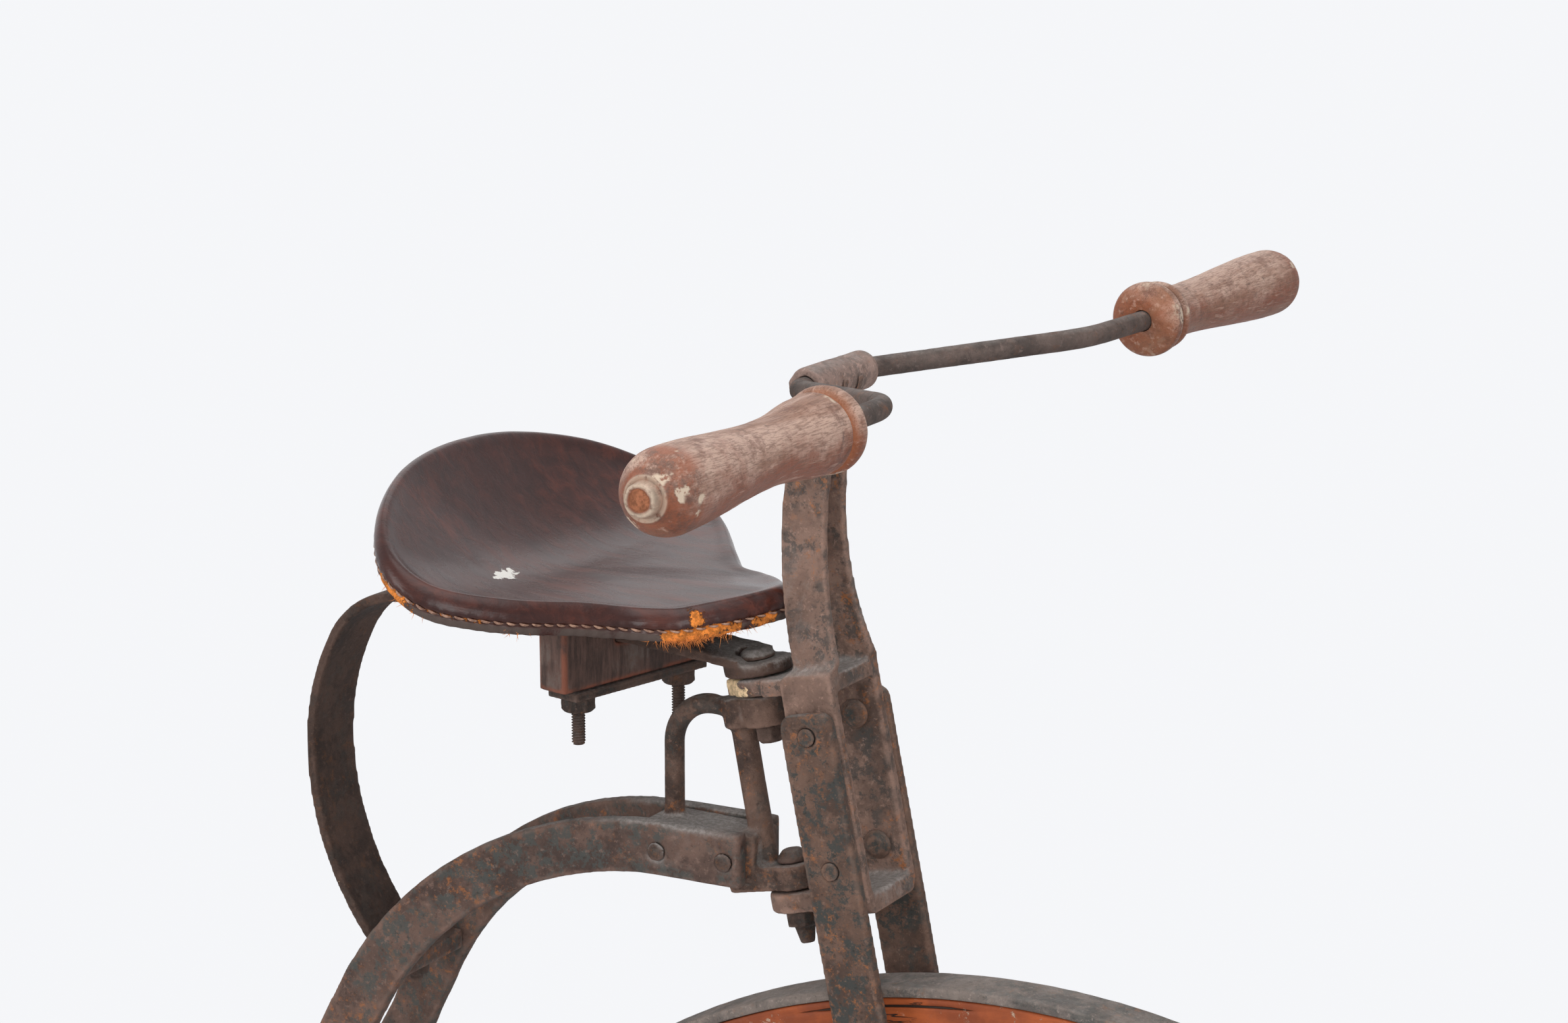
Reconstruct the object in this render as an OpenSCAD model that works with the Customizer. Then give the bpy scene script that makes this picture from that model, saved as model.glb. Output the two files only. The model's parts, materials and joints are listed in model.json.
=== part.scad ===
// Rusty front-driven two-wheeler: forged iron frame, wooden wheels, spring saddle.
// Millimetres. +X forward, +Y left, +Z up. The origin is the rider's seat on the saddle.

/* [Wheels] */
// Outside diameter of the front wheel over its iron tyre
front_wheel_d = 704; // [600:2:860]
// Outside diameter of the rear wheel over its iron tyre
rear_wheel_d = 560; // [460:2:680]
// Width of the flat iron tyres
tyre_w = 24; // [18:1:30]
// Thickness of the iron tyres
tyre_t = 5; // [3:0.5:7]
// Radial depth of the wooden felloes
rim_depth = 30; // [22:1:40]
// Number of wooden spokes in the front wheel
front_spoke_count = 12; // [8:1:16]
// Number of wooden spokes in the rear wheel
rear_spoke_count = 10; // [8:1:14]
// Largest diameter of a spoke
spoke_d = 17; // [12:1:22]
// Largest diameter of the front hub
front_hub_d = 66; // [54:1:80]
// Largest diameter of the rear hub
rear_hub_d = 58; // [48:1:72]
// Free gap between the two wheels
wheel_gap = 26; // [20:1:60]

/* [Fork] */
// Lean of the steering axis from the vertical, degrees
rake = 11.5; // [6:0.5:18]
// Distance of the fork blades' middle in front of the steering axis
fork_offset = 34.3; // [30:0.1:44]
// Width of the flat blades
blade_w = 25.4; // [20:0.2:32]
// Thickness of the flat blades
blade_t = 6.2; // [5:0.2:9]
// Free width between the two sides of the yoke
yoke_gap = 33; // [28:0.5:40]
// Thickness of the yoke's strap
strap_t = 6.5; // [5:0.1:9]
// Depth of the yoke below the middle of the head
yoke_drop = 71.5; // [66:0.5:90]
// Gap between the yoke and the tyre
tyre_gap = 34; // [22:0.5:50]
// Free width between the blades at the axle
drop_gap = 68; // [60:1:90]

/* [Stem and handlebar] */
// Height of the handlebar sleeve above the middle of the head
bar_h = 157.8; // [130:0.5:190]
// Distance of the sleeve in front of the steering axis
bar_reach = 62; // [50:0.5:75]
// Width of the curved stem straps seen from the side
stem_w = 22; // [16:0.5:26]
// Thickness of the stem straps
stem_t = 4.6; // [3.5:0.1:7]
// Free width between the stem straps under the sleeve
stem_gap = 9; // [6:0.5:16]
// Length of the handlebar sleeve
sleeve_l = 52; // [46:1:70]
// Outside diameter of the handlebar sleeve
sleeve_d = 17.5; // [14:0.5:22]
// Diameter of the handlebar rod
rod_d = 9.5; // [7:0.5:12]
// Radius of the handlebar's sharp bends beside the sleeve
bend_r = 12; // [9:1:24]
// Radius of the handlebar's second bends, before the grips
bend_r2 = 34; // [20:1:60]
// Angle by which each half of the handlebar sweeps forward, degrees
sweep = 50; // [20:0.5:60]
// Straight run between the two bends
bar_run = 78; // [50:1:130]
// Straight run from the second bend to the grip
grip_run = 38.6; // [0:0.1:60]
// Angle of the grips from straight across, degrees
grip_toe = 3.5; // [0:0.5:12]
// Length of a grip
grip_l = 152; // [110:1:180]
// Largest diameter of a grip
grip_d = 31.75; // [26:0.25:38]

/* [Frame] */
// Depth of the backbone bars seen from the side
bar_depth = 25; // [20:0.5:32]
// Thickness of a backbone bar
bar_t = 8; // [6:0.5:11]
// Free width between the bars at the head block
block_w = 23; // [20:0.5:30]
// Free width between the bars at the rear axle
stay_gap = 68; // [60:1:90]
// Radius of the backbone's arch
arch_r = 170; // [140:1:210]
// Diameter of the upright rod in the head
post_d = 11.6; // [9:0.2:14]
// Diameter of the bent brace rod
brace_d = 9.4; // [7:0.2:12]
// Diameter of the steering bolt and pin
pivot_d = 10; // [8:0.5:12]

/* [Saddle and spring] */
// Length of the saddle
saddle_l = 176; // [150:1:190]
// Width of the saddle
saddle_w = 235; // [200:1:260]
// Height of the raised back rim above the seat
saddle_rise = 50; // [20:1:60]
// Thickness of the padded leather
saddle_t = 9; // [6:0.5:14]
// Width of the flat spring
spring_w = 33; // [26:0.5:40]
// Thickness of the flat spring
spring_t = 5; // [4:0.25:7]
// Distance from one saddle stud to the other
stud_span = 64; // [58:1:80]
// Angle by which the saddle's clamp has slewed round on the spring, degrees
clamp_skew = 13; // [0:0.5:18]

/* [Cranks and pedals] */
// Length of a crank, axle to pedal pin
crank_l = 110; // [80:1:140]
// Angle of the right crank below the forward direction, degrees
crank_angle = 62; // [0:1:180]
// Length of a pedal spool
pedal_l = 76; // [60:1:100]
// Largest diameter of a pedal spool
pedal_d = 38; // [28:1:48]

/* [Hidden] */
$fn = 48;

// Colours
iron = [0.33, 0.25, 0.21];
dark_iron = [0.24, 0.20, 0.18];
wood = [0.55, 0.31, 0.20];
orange_wood = [0.66, 0.33, 0.17];
hide = [0.24, 0.12, 0.09];

// Clearances: a fixed fit, a running fit and a gap between faces that turn past each other
fix = 0.05;
run = 0.08;
slip = 0.6;
// Hairline between straight and bent runs of one rod
joint = 0.02;

// The handlebar sleeve's middle is the drawing's own centre; the seat is measured from it
seat_x = -125;
seat_z = -96;
head_x = -29.2;
head_z = -167;

// Steering head, along the steering axis from the head's middle
tongue_z0 = 26;
tongue_z1 = 34;
boss_z0 = 11.5;
lug_z1 = -yoke_drop + 9;
pivot_r = pivot_d / 2;

// Fork
front_r = front_wheel_d / 2;
rear_r = rear_wheel_d / 2;
axle_drop = yoke_drop + tyre_gap + front_r;
yoke_in = yoke_gap / 2;
yoke_out = yoke_in + strap_t;
blade_in = drop_gap / 2;
x0 = fork_offset - blade_w / 2;
x1 = fork_offset + blade_w / 2;

// Wheel positions measured from the sleeve's middle
front_x = head_x + fork_offset * cos(rake) + axle_drop * sin(rake);
front_z = head_z + fork_offset * sin(rake) - axle_drop * cos(rake);
ground_z = front_z - front_r;
rear_x = front_x - front_r - wheel_gap - rear_r;
rear_z = ground_z + rear_r;

// Backbone: level run, arch, then a curve down to the rear axle
bone_z = -215;
bone_x0 = -36;
bone_x1 = -80;
arch_end = 64;
arch_p = [bone_x1 - arch_r * sin(arch_end), bone_z - arch_r * (1 - cos(arch_end))];
arch_t = [-cos(arch_end), -sin(arch_end)];
stay_len = norm([rear_x, rear_z] - arch_p);
stay_end = [-0.78, -0.626];
c0 = arch_p;
c1 = arch_p + arch_t * stay_len * 0.3;
c2 = [rear_x, rear_z] - stay_end * stay_len * 0.36;
c3 = [rear_x, rear_z];
function bez(t) = c0 * pow(1 - t, 3) + c1 * 3 * t * pow(1 - t, 2)
    + c2 * 3 * t * t * (1 - t) + c3 * pow(t, 3);
function bez_d(t) = (c1 - c0) * 3 * pow(1 - t, 2) + (c2 - c1) * 6 * t * (1 - t)
    + (c3 - c2) * 3 * t * t;
function unit(v) = v / norm(v);
function side(v) = [-v[1], v[0]];
bone_path = concat(
    [[bone_x0, bone_z]],
    [for (a = [0 : 4 : arch_end]) [bone_x1 - arch_r * sin(a), bone_z - arch_r * (1 - cos(a))]],
    [for (i = [1 : 14]) bez(i / 14)]);
bone_dir = concat(
    [[-1, 0]],
    [for (a = [0 : 4 : arch_end]) [-cos(a), -sin(a)]],
    [for (i = [1 : 14]) unit(bez_d(i / 14))]);

bone_rivets = [-44, -78];

// Plan of a bar: half the free width at stations along the bike
block_in = block_w / 2;
stay_in = stay_gap / 2;
spread_x = -215;
spread_in = block_in + (stay_in - block_in) * 0.64;
spread_x2 = -300;

// Start of the spring's flat run behind the upper pivot, and its slope in degrees
spring_x0 = head_x - 9;
spring_z0 = -126.6;
spring_tilt = -5.2;

// Places a part drawn from the sleeve's middle
module place() {
    translate([-seat_x, 0, -seat_z]) children();
}

// Places a part drawn along the steering axis
module steer() {
    place() translate([head_x, 0, head_z]) rotate([0, -rake, 0]) children();
}

// Extrudes a side view (x along the bike, y up) across the bike, from ya to yb
module across(ya, yb) {
    translate([0, yb, 0]) rotate([90, 0, 0]) linear_extrude(height = yb - ya) children();
}

// A round bar along +Y
module bar_y(r, ya, yb, n = 48) {
    translate([0, ya, 0]) rotate([-90, 0, 0]) cylinder(r = r, h = yb - ya, $fn = n);
}

// Places a piece on the front axle, turned with the wheel
module at_front() {
    steer() translate([fork_offset, 0, -axle_drop]) children();
}

module at_rear() {
    place() translate([rear_x, 0, rear_z]) children();
}

// ---------------------------------------------------------------- frame

module bone_side(extra = 0) {
    h = bar_depth / 2 + extra;
    polygon(concat(
        [for (i = [0 : len(bone_path) - 1]) bone_path[i] + side(bone_dir[i]) * h],
        [for (i = [len(bone_path) - 1 : -1 : 0]) bone_path[i] - side(bone_dir[i]) * h]));
}

module bone_plan(grow = 0) {
    polygon([
        [bone_x0 + 20, block_in - grow],
        [bone_x1 - 8, block_in - grow],
        [spread_x, spread_in - grow],
        [spread_x2, stay_in - grow],
        [rear_x - 60, stay_in - grow],
        [rear_x - 60, stay_in + bar_t + grow],
        [spread_x2, stay_in + bar_t + grow],
        [spread_x, spread_in + bar_t + grow],
        [bone_x1 - 8, block_in + bar_t + grow],
        [bone_x0 + 20, block_in + bar_t + grow]]);
}

module bone_bar() {
    difference() {
        intersection() {
            union() {
                across(0, 90) bone_side();
                translate([rear_x, 0, rear_z]) bar_y(18, 0, 90);
            }
            translate([0, 0, rear_z - 60]) linear_extrude(height = 900) bone_plan();
        }
        translate([rear_x, 0, rear_z]) bar_y(7 + fix, 0, 90);
        for (x = bone_rivets)
            translate([x, 0, bone_z - 1]) bar_y(3.5 + fix, 0, 90, 24);
    }
}

module backbone_bar_left() {
    color(iron) place() bone_bar();
}

module backbone_bar_right() {
    color(iron) place() mirror([0, 1, 0]) bone_bar();
}

module head_forging() {
    color(iron) difference() {
        union() {
            // Upper boss with the lobe that carries the upright rod
            steer() translate([0, 0, boss_z0])
                cylinder(r = 11.2, h = tongue_z0 - slip - boss_z0);
            steer() translate([-13, 0, boss_z0])
                cylinder(r = 8.4, h = tongue_z0 - slip - boss_z0);
            // Upright rod
            steer() translate([-13, 0, boss_z0 + 4]) rotate([0, 180.6, 0])
                cylinder(d = post_d, h = 74);
            // Lower boss and the neck behind it
            steer() translate([0, 0, lug_z1 + slip])
                cylinder(r = 11, h = 11.5);
            steer() translate([-30, -9.5, lug_z1 + slip])
                cube([30, 19, 11.5]);
            // Block between the backbone bars
            place() difference() {
                across(-block_in + fix, block_in - fix) polygon([
                    [bone_x0 + 3, bone_z - bar_depth / 2 + 1],
                    [bone_x0 + 3, bone_z + bar_depth / 2 - 2],
                    [bone_x1 - 8, bone_z + bar_depth / 2 - 1],
                    [bone_x1 - 8, bone_z - bar_depth / 2 + 1]]);
                for (x = bone_rivets)
                    translate([x, 0, bone_z - 1]) bar_y(3.5 + fix, -40, 40, 24);
            }
        }
        steer() translate([0, 0, boss_z0 - 1]) cylinder(r = pivot_r + fix, h = 20);
        steer() translate([0, 0, lug_z1 - 5]) cylinder(r = pivot_r + fix, h = 30);
        // Flat face under the nut of the upper bolt, and room for the head of the lower pin
        steer() translate([0, 0, boss_z0 - 9]) cylinder(r = 7.05, h = 9);
        steer() translate([0, 0, lug_z1 + slip + 11.5]) cylinder(r = 7.6, h = 9);
        // Room for the lug of the fork
        steer() translate([0, 0, lug_z1 + slip - 30]) cylinder(r = 26, h = 30);
    }
}

module brace_rod() {
    r = brace_d / 2;
    bend = 20;
    zt = -150.2;
    xb = -79.5;
    zb = bone_z + bar_depth / 2 - 1;
    color(iron) difference() {
        place() union() {
            translate([xb + bend + bend * cos(86), 0, zt - bend + bend * sin(86)])
                rotate([0, 94, 0]) translate([0, 0, joint]) cylinder(r = r, h = 24, $fn = 32);
            translate([xb + bend, 0, zt - bend]) rotate([90, 0, 0]) rotate([0, 0, 86])
                rotate_extrude(angle = 94, $fn = 48) translate([bend, 0]) circle(r, $fn = 32);
            translate([xb, 0, zb]) cylinder(r = r, h = zt - bend - zb - joint, $fn = 32);
        }
        steer() translate([-13, 0, boss_z0 - 5]) cylinder(r = 8.4 + fix, h = 30);
        steer() translate([-13, -12, boss_z0 - 5]) cube([30, 24, 30]);
        steer() translate([0, 0, tongue_z0 - slip]) cylinder(r = 24, h = 20);
    }
}

module backbone_rivets() {
    color(dark_iron) place() for (x = bone_rivets)
        translate([x, 0, bone_z - 1]) {
            bar_y(3.5, -block_in - bar_t, block_in + bar_t, 24);
            for (s = [0, 1]) mirror([0, s, 0])
                translate([0, block_in + bar_t + joint, 0]) rotate([-90, 0, 0])
                cylinder(r1 = 4.6, r2 = 3.9, h = 0.6, $fn = 24);
        }
}

module between_bars() {
    polygon([
        [bone_x0, -block_in + fix], [bone_x0, block_in - fix],
        [bone_x1 - 8, block_in - fix], [spread_x, spread_in - fix],
        [spread_x2, stay_in - fix], [spread_x2, -stay_in + fix],
        [spread_x, -spread_in + fix], [bone_x1 - 8, -block_in + fix]]);
}

module spring_bridge() {
    color(iron) place() difference() {
        intersection() {
            translate([bridge_x - 12, -60, bridge_z - bridge_t / 2])
                cube([24, 120, bridge_t]);
            translate([0, 0, rear_z - 60]) linear_extrude(height = 900) between_bars();
        }
        translate([bridge_x + 2, 0, bridge_z - 20]) cylinder(r = 3.2 + fix, h = 40, $fn = 24);
    }
}

// Follows the spring's bends: state is [point, heading], heading 0 runs backwards, 90 down
function turn_end(p, h, r, a) = [
    p[0] - r * (sin(h + a) - sin(h)),
    p[1] + r * (cos(h + a) - cos(h))];

// Heading 0 runs backwards, 90 runs down; the run rises gently, levels off and curls over
spring_run = 76;
s_p0 = [spring_x0, spring_z0];
s_h0 = spring_tilt;
s_p1 = s_p0 + [-cos(s_h0), -sin(s_h0)] * spring_run;
s_p2 = turn_end(s_p1, s_h0, 640, -s_h0);
s_p3 = s_p2 + [-43.5, 0];
s_p4 = turn_end(s_p3, 0, 44, 60);
s_p5 = turn_end(s_p4, 60, 112, 30);
s_p6 = turn_end(s_p5, 90, 141, 38);
s_p7 = turn_end(s_p6, 128, 8, 52);
bridge_t = 10;
bridge_x = s_p7[0] + 8;
bridge_z = s_p7[1] - spring_t / 2 - fix - bridge_t / 2;

module spring_side() {
    h = spring_t / 2;
    pts = concat(
        [s_p0, s_p1],
        [for (i = [1 : 4]) turn_end(s_p1, s_h0, 640, -s_h0 * i / 4)],
        [s_p3],
        [for (i = [1 : 15]) turn_end(s_p3, 0, 44, 60 * i / 15)],
        [for (i = [1 : 10]) turn_end(s_p4, 60, 112, 30 * i / 10)],
        [for (i = [1 : 14]) turn_end(s_p5, 90, 141, 38 * i / 14)],
        [for (i = [1 : 5]) turn_end(s_p6, 128, 8, 52 * i / 5)],
        [s_p7 + [22, 0]]);
    hs = concat(
        [s_h0, s_h0],
        [for (i = [1 : 4]) s_h0 * (1 - i / 4)],
        [0],
        [for (i = [1 : 15]) 60 * i / 15],
        [for (i = [1 : 10]) 60 + 30 * i / 10],
        [for (i = [1 : 14]) 90 + 38 * i / 14],
        [for (i = [1 : 5]) 128 + 52 * i / 5],
        [180]);
    polygon(concat(
        [for (i = [0 : len(pts) - 1]) pts[i] + [-sin(hs[i]), cos(hs[i])] * h],
        [for (i = [len(pts) - 1 : -1 : 0]) pts[i] - [-sin(hs[i]), cos(hs[i])] * h]));
}

module saddle_spring() {
    color(iron) difference() {
        union() {
            place() across(-spring_w / 2, spring_w / 2) spring_side();
            steer() translate([0, 0, tongue_z1 + slip]) cylinder(r = 15.5, h = 6.4);
        }
        steer() translate([0, 0, tongue_z1 - 9]) cylinder(r = pivot_r + fix, h = 30);
        steer() translate([0, 0, tongue_z1 - 20 + slip]) cylinder(r = 45, h = 20);
        steer() translate([0, 0, tongue_z1 + slip + 6.4]) cylinder(r = 9, h = 20);
        place() translate([bridge_x + 2, 0, bridge_z - 20])
            cylinder(r = 3.2 + fix, h = 60, $fn = 24);
    }
}

module spring_foot_bolt() {
    top = bridge_z + bridge_t / 2 + spring_t + 2 * fix;
    low = bridge_z - bridge_t / 2 - fix;
    color(dark_iron) place() translate([bridge_x + 2, 0, 0]) {
        translate([0, 0, low - 9]) cylinder(r = 3.2, h = top - low + 9.1, $fn = 24);
        translate([0, 0, top]) cylinder(r = 6.5, h = 3.6, $fn = 24);
        translate([0, 0, low - 5.5]) cylinder(r = 6.8, h = 5.5, $fn = 6);
    }
}

module upper_pivot_bolt() {
    top = tongue_z1 + slip + 6.4;
    color(dark_iron) steer() {
        translate([0, 0, boss_z0 - 8]) cylinder(r = pivot_r, h = top - boss_z0 + 8.1);
        translate([0, 0, top + 0.05]) cylinder(r = 8.2, h = 2);
        translate([0, 0, top + 2.05]) cylinder(r1 = 8.2, r2 = 5.4, h = 2.6);
        translate([0, 0, boss_z0 - 6.6]) cylinder(r = 6.9, h = 6.5, $fn = 6);
    }
}

module lower_pivot_pin() {
    top = lug_z1 + slip + 11.5;
    color(dark_iron) steer() {
        translate([0, 0, -yoke_drop - 6]) cylinder(r = pivot_r, h = top + yoke_drop + 6.1);
        translate([0, 0, top + 0.05]) cylinder(r = 7.3, h = 2);
        translate([0, 0, top + 2.05]) cylinder(r1 = 7.3, r2 = 4, h = 3.6);
        translate([0, 0, -yoke_drop - 7.4]) cylinder(r = 8.4, h = 7, $fn = 6);
        translate([0, 0, -yoke_drop - 16]) cylinder(r1 = 3.2, r2 = 5, h = 9);
    }
}

// ---------------------------------------------------------------- saddle

// Middle line of the rolled rim from the nose round one side to the back:
// [part of the length behind the nose, part of the half width, part of the rise]
rim_line = [
    [0.000, 0.000, -0.094],
    [0.048, 0.130, -0.130],
    [0.108, 0.240, -0.165],
    [0.182, 0.338, -0.200],
    [0.279, 0.407, -0.190],
    [0.370, 0.566, -0.110],
    [0.491, 0.810, -0.016],
    [0.636, 0.982, 0.126],
    [0.772, 0.962, 0.372],
    [0.885, 0.742, 0.640],
    [0.971, 0.403, 0.826],
    [1.000, 0.000, 0.890]];
rim_r = 5.5;
nose_x = 98;
rim_sub = 3;
rim_last = len(rim_line) - 1;
rim_n = 2 * rim_last * rim_sub;
bowl = 2.0;
pan_gap = 0.3;
pan_t = 2.5;
pan_cover = 0.84;

// Closed loop of the rim: the far half mirrors the near one
function rim_point(i) = let (m = (i + 4 * rim_last) % (2 * rim_last),
        a = min(m, 2 * rim_last - m))
    [nose_x - rim_line[a][0] * (saddle_l - 2 * rim_r),
        (m > rim_last ? -1 : 1) * rim_line[a][1] * (saddle_w / 2 - rim_r),
        rim_line[a][2] * saddle_rise];
// Smooth curve through four neighbouring points of the rim
function smooth(a, b, c, d, t) = 0.5 * ((2 * b) + (c - a) * t
    + (2 * a - 5 * b + 4 * c - d) * t * t + (3 * b - a - 3 * c + d) * t * t * t);
function rim(k) = let (i = floor(k / rim_sub), t = k / rim_sub - i)
    smooth(rim_point(i - 1), rim_point(i), rim_point(i + 1), rim_point(i + 2), t);

// Point of the seat along the spoke from its middle to rim point k: q is the part of the
// way out, e a step beyond the rim and z a step off the seat's upper face
function seat_point(k, q, e, z) = let (p = rim(k), u = [p[0], p[1]] / norm([p[0], p[1]]))
    [q * p[0] + e * u[0], q * p[1] + e * u[1], (p[2] + rim_r) * pow(q, bowl) + z];

// A closed shell swept round the seat; each profile step is [q, e, z], from the middle of
// the upper face, over the edge, to the middle of the underside
module seat_shell(profile) {
    n = rim_n;
    m = len(profile) - 2;
    rings = [for (i = [1 : m]) for (k = [0 : n - 1])
        seat_point(k, profile[i][0], profile[i][1], profile[i][2])];
    pts = concat(rings, [[0, 0, profile[0][2]], [0, 0, profile[m + 1][2]]]);
    faces = concat(
        [for (k = [0 : n - 1]) [n * m, (k + 1) % n, k]],
        [for (i = [0 : m - 2]) for (k = [0 : n - 1])
            [i * n + k, i * n + (k + 1) % n, (i + 1) * n + (k + 1) % n]],
        [for (i = [0 : m - 2]) for (k = [0 : n - 1])
            [i * n + k, (i + 1) * n + (k + 1) % n, (i + 1) * n + k]],
        [for (k = [0 : n - 1]) [n * m + 1, (m - 1) * n + k, (m - 1) * n + (k + 1) % n]]);
    polyhedron(points = pts, faces = faces, convexity = 8);
}

module saddle_leather() {
    color(hide) seat_shell(concat(
        [for (q = [0, 0.2, 0.38, 0.54, 0.68, 0.8, 0.9]) [q, 0, 0]],
        [for (a = [90 : -30 : -90]) [1, rim_r * cos(a), rim_r * (sin(a) - 1)]],
        [for (q = [0.9, 0.8, 0.68, 0.54, 0.38, 0.2, 0]) [q, 0, -saddle_t]]));
}

module saddle_pan() {
    top = -saddle_t - pan_gap;
    color(dark_iron) difference() {
        seat_shell(concat(
            [for (q = [0 : 0.14 : pan_cover]) [q, 0, top]],
            [for (q = [pan_cover : -0.14 : 0]) [q, 0, top - pan_t]]));
        at_studs() translate([0, 0, -60]) cylinder(r = stud_r + fix, h = 90, $fn = 24);
    }
}

clamp_x = 22;
stud_r = 3.18;
strip_z = spring_z0 - seat_z + (spring_x0 - seat_x - clamp_x) * tan(-spring_tilt);
block_low = strip_z + spring_t / 2 - 23.5;
block_half = [8, stud_span / 2 + 16];
block_edges = [for (x = [-1, 1]) for (y = [-1 : 0.1 : 1])
    clamp_place([x * block_half[0], y * block_half[1]])];
stud_places = [for (y = [-1, 1]) clamp_place([0, y * stud_span / 2])];
// The block's top just clears the pan, and the studs' heads just clear the leather
pan_low = -saddle_t - pan_gap - pan_t - 3 * fix
    + min([for (p = block_edges) seat_height(p, pan_cover)]);
stud_top = -saddle_t - 2.5 * pan_gap + min([for (p = stud_places) seat_height(p, 1)]);

// A place on the slewed clamp, in plan
function clamp_place(p) = [clamp_x + p[0] * cos(clamp_skew) + p[1] * sin(clamp_skew),
    p[1] * cos(clamp_skew) - p[0] * sin(clamp_skew)];
// Height of the seat's upper face above its middle at a place in plan, at most the part
// "out" of the way to the rim: the rim is found in that direction between two of its points
function rim_turn(k) = let (r = rim(k)) atan2(r[1], r[0]);
function seat_height(p, out) = let (
        a = atan2(abs(p[1]), p[0]),
        k = max([for (i = [0 : rim_n / 2 - 1]) if (rim_turn(i) <= a) i]),
        t = (a - rim_turn(k)) / (rim_turn(k + 1) - rim_turn(k)),
        r = rim(k) * (1 - t) + rim(k + 1) * t)
    (r[2] + rim_r) * pow(min(out, norm(p) / norm([r[0], r[1]])), bowl);

module at_clamp() {
    translate([clamp_x, 0, 0]) rotate([0, 0, -clamp_skew]) children();
}

module at_studs() {
    at_clamp() for (s = [-1, 1]) translate([0, s * stud_span / 2, 0]) children();
}

module saddle_clamp_block() {
    color(dark_iron) difference() {
        at_clamp() translate([-block_half[0], -block_half[1], block_low])
            cube([2 * block_half[0], 2 * block_half[1], pan_low - block_low]);
        place() across(-spring_w / 2 - 0.5, spring_w / 2 + 0.5) offset_spring();
        at_studs() translate([0, 0, block_low - 5]) cylinder(r = stud_r + fix, h = 60, $fn = 24);
    }
}

// The space above the spring's underside, where the spring crosses the block
module offset_spring() {
    h = spring_t / 2 + fix;
    low = [for (i = [0 : 3]) let (a = s_h0 * (1 - i / 4))
        turn_end(s_p1, s_h0, 640, -s_h0 * i / 4) + [sin(a), -cos(a)] * h];
    start = s_p0 + [sin(s_h0), -cos(s_h0)] * h;
    polygon(concat([start], low, [low[3] + [0, 60], start + [0, 60]]));
}

module saddle_clamp_plate() {
    l = stud_span / 2 + 10;
    color(dark_iron) difference() {
        at_clamp() translate([-9, -l, block_low - 4.05]) cube([18, 2 * l, 4]);
        at_studs() translate([0, 0, block_low - 15]) cylinder(r = stud_r + fix, h = 60, $fn = 24);
    }
}

module saddle_studs() {
    color(dark_iron) at_studs() {
        translate([0, 0, block_low - 26]) cylinder(r = stud_r, h = stud_top - block_low + 26, $fn = 24);
        translate([0, 0, block_low - 10.6]) cylinder(r = 7.6, h = 6.5, $fn = 6);
    }
}

module rear_axle() {
    e = stay_in + bar_t;
    color(dark_iron) at_rear() {
        bar_y(7, -e - 24, e + 24);
        for (s = [0, 1]) mirror([0, s, 0]) {
            translate([0, e + 0.05, 0]) rotate([-90, 0, 0]) cylinder(r = 13, h = 10, $fn = 6);
            translate([0, stay_in - 2.05, 0]) rotate([-90, 0, 0]) cylinder(r = 12, h = 2);
        }
    }
}

// ---------------------------------------------------------------- steering

// Point at turn a of the yoke's rounded lower corner on side s
yoke_round = 7;
function yoke_corner(s, a) = [s * (yoke_out - yoke_round), yoke_round - yoke_drop]
    + yoke_round * [cos(a), sin(a)];

module yoke_strap() {
    color(iron) steer() difference() {
        union() {
            // U of flat bar with rounded lower corners
            intersection() {
                translate([x0, -yoke_out, -yoke_drop])
                    cube([blade_w, 2 * yoke_out, yoke_drop + tongue_z1]);
                rotate([90, 0, 90]) linear_extrude(height = 90) polygon(concat(
                    [[yoke_out, 60]],
                    [for (a = [0 : -15 : -90]) yoke_corner(1, a)],
                    [for (a = [-90 : -15 : -180]) yoke_corner(-1, a)],
                    [[-yoke_out, 60]]));
            }
            // Lug behind the U for the lower pin
            translate([0, 0, -yoke_drop]) cylinder(r = 13, h = 9);
            translate([0, -11, -yoke_drop]) cube([x0 + 1, 22, 9]);
        }
        // Inside of the U
        translate([x0 - 20, -yoke_in, -yoke_drop + 9]) cube([90, yoke_gap, 300]);
        translate([0, 0, -yoke_drop - 1]) cylinder(r = pivot_r + run, h = 20);
        for (z = [fork_rivet_1, fork_rivet_2]) translate([fork_offset, 0, z])
            bar_y(3.75 + fix, -40, 40, 24);
    }
}

fork_rivet_1 = 10;
fork_rivet_2 = -49;

// Stem straps: their middle seen from the side, and their inner face seen from the front
stem_z0 = tongue_z1 + 4;
stem_dip = 62;
function stem_x(z) = fork_offset + 2.4
    + (bar_reach - fork_offset - 2.4) * pow((z - stem_dip) / (bar_h - stem_dip), 2);
function stem_y(z) = stem_gap / 2
    + (yoke_in - 2 - stem_gap / 2) * pow(max(0, (bar_h - 8 - z) / (bar_h - 8 - tongue_z1)), 2.2);

module stem_side() {
    hw = stem_w / 2;
    n = 14;
    polygon(concat(
        [[x1, tongue_z1]],
        [for (i = [0 : n]) let (z = stem_z0 + (bar_h - stem_z0) * i / n) [stem_x(z) + hw, z]],
        [for (i = [n : -1 : 0]) let (z = stem_z0 + (bar_h - stem_z0) * i / n) [stem_x(z) - hw, z]],
        [[x0, tongue_z1]]));
}

module stem_front() {
    n = 14;
    polygon(concat(
        [[yoke_in - 3, tongue_z1]],
        [for (i = [0 : n]) let (z = stem_z0 + (bar_h - stem_z0) * i / n) [stem_y(z), z]],
        [for (i = [n : -1 : 0]) let (z = stem_z0 + (bar_h - stem_z0) * i / n)
            [stem_y(z) + stem_t, z]],
        [[yoke_out, tongue_z1 + 1.5], [yoke_out, tongue_z1]]));
}

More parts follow.
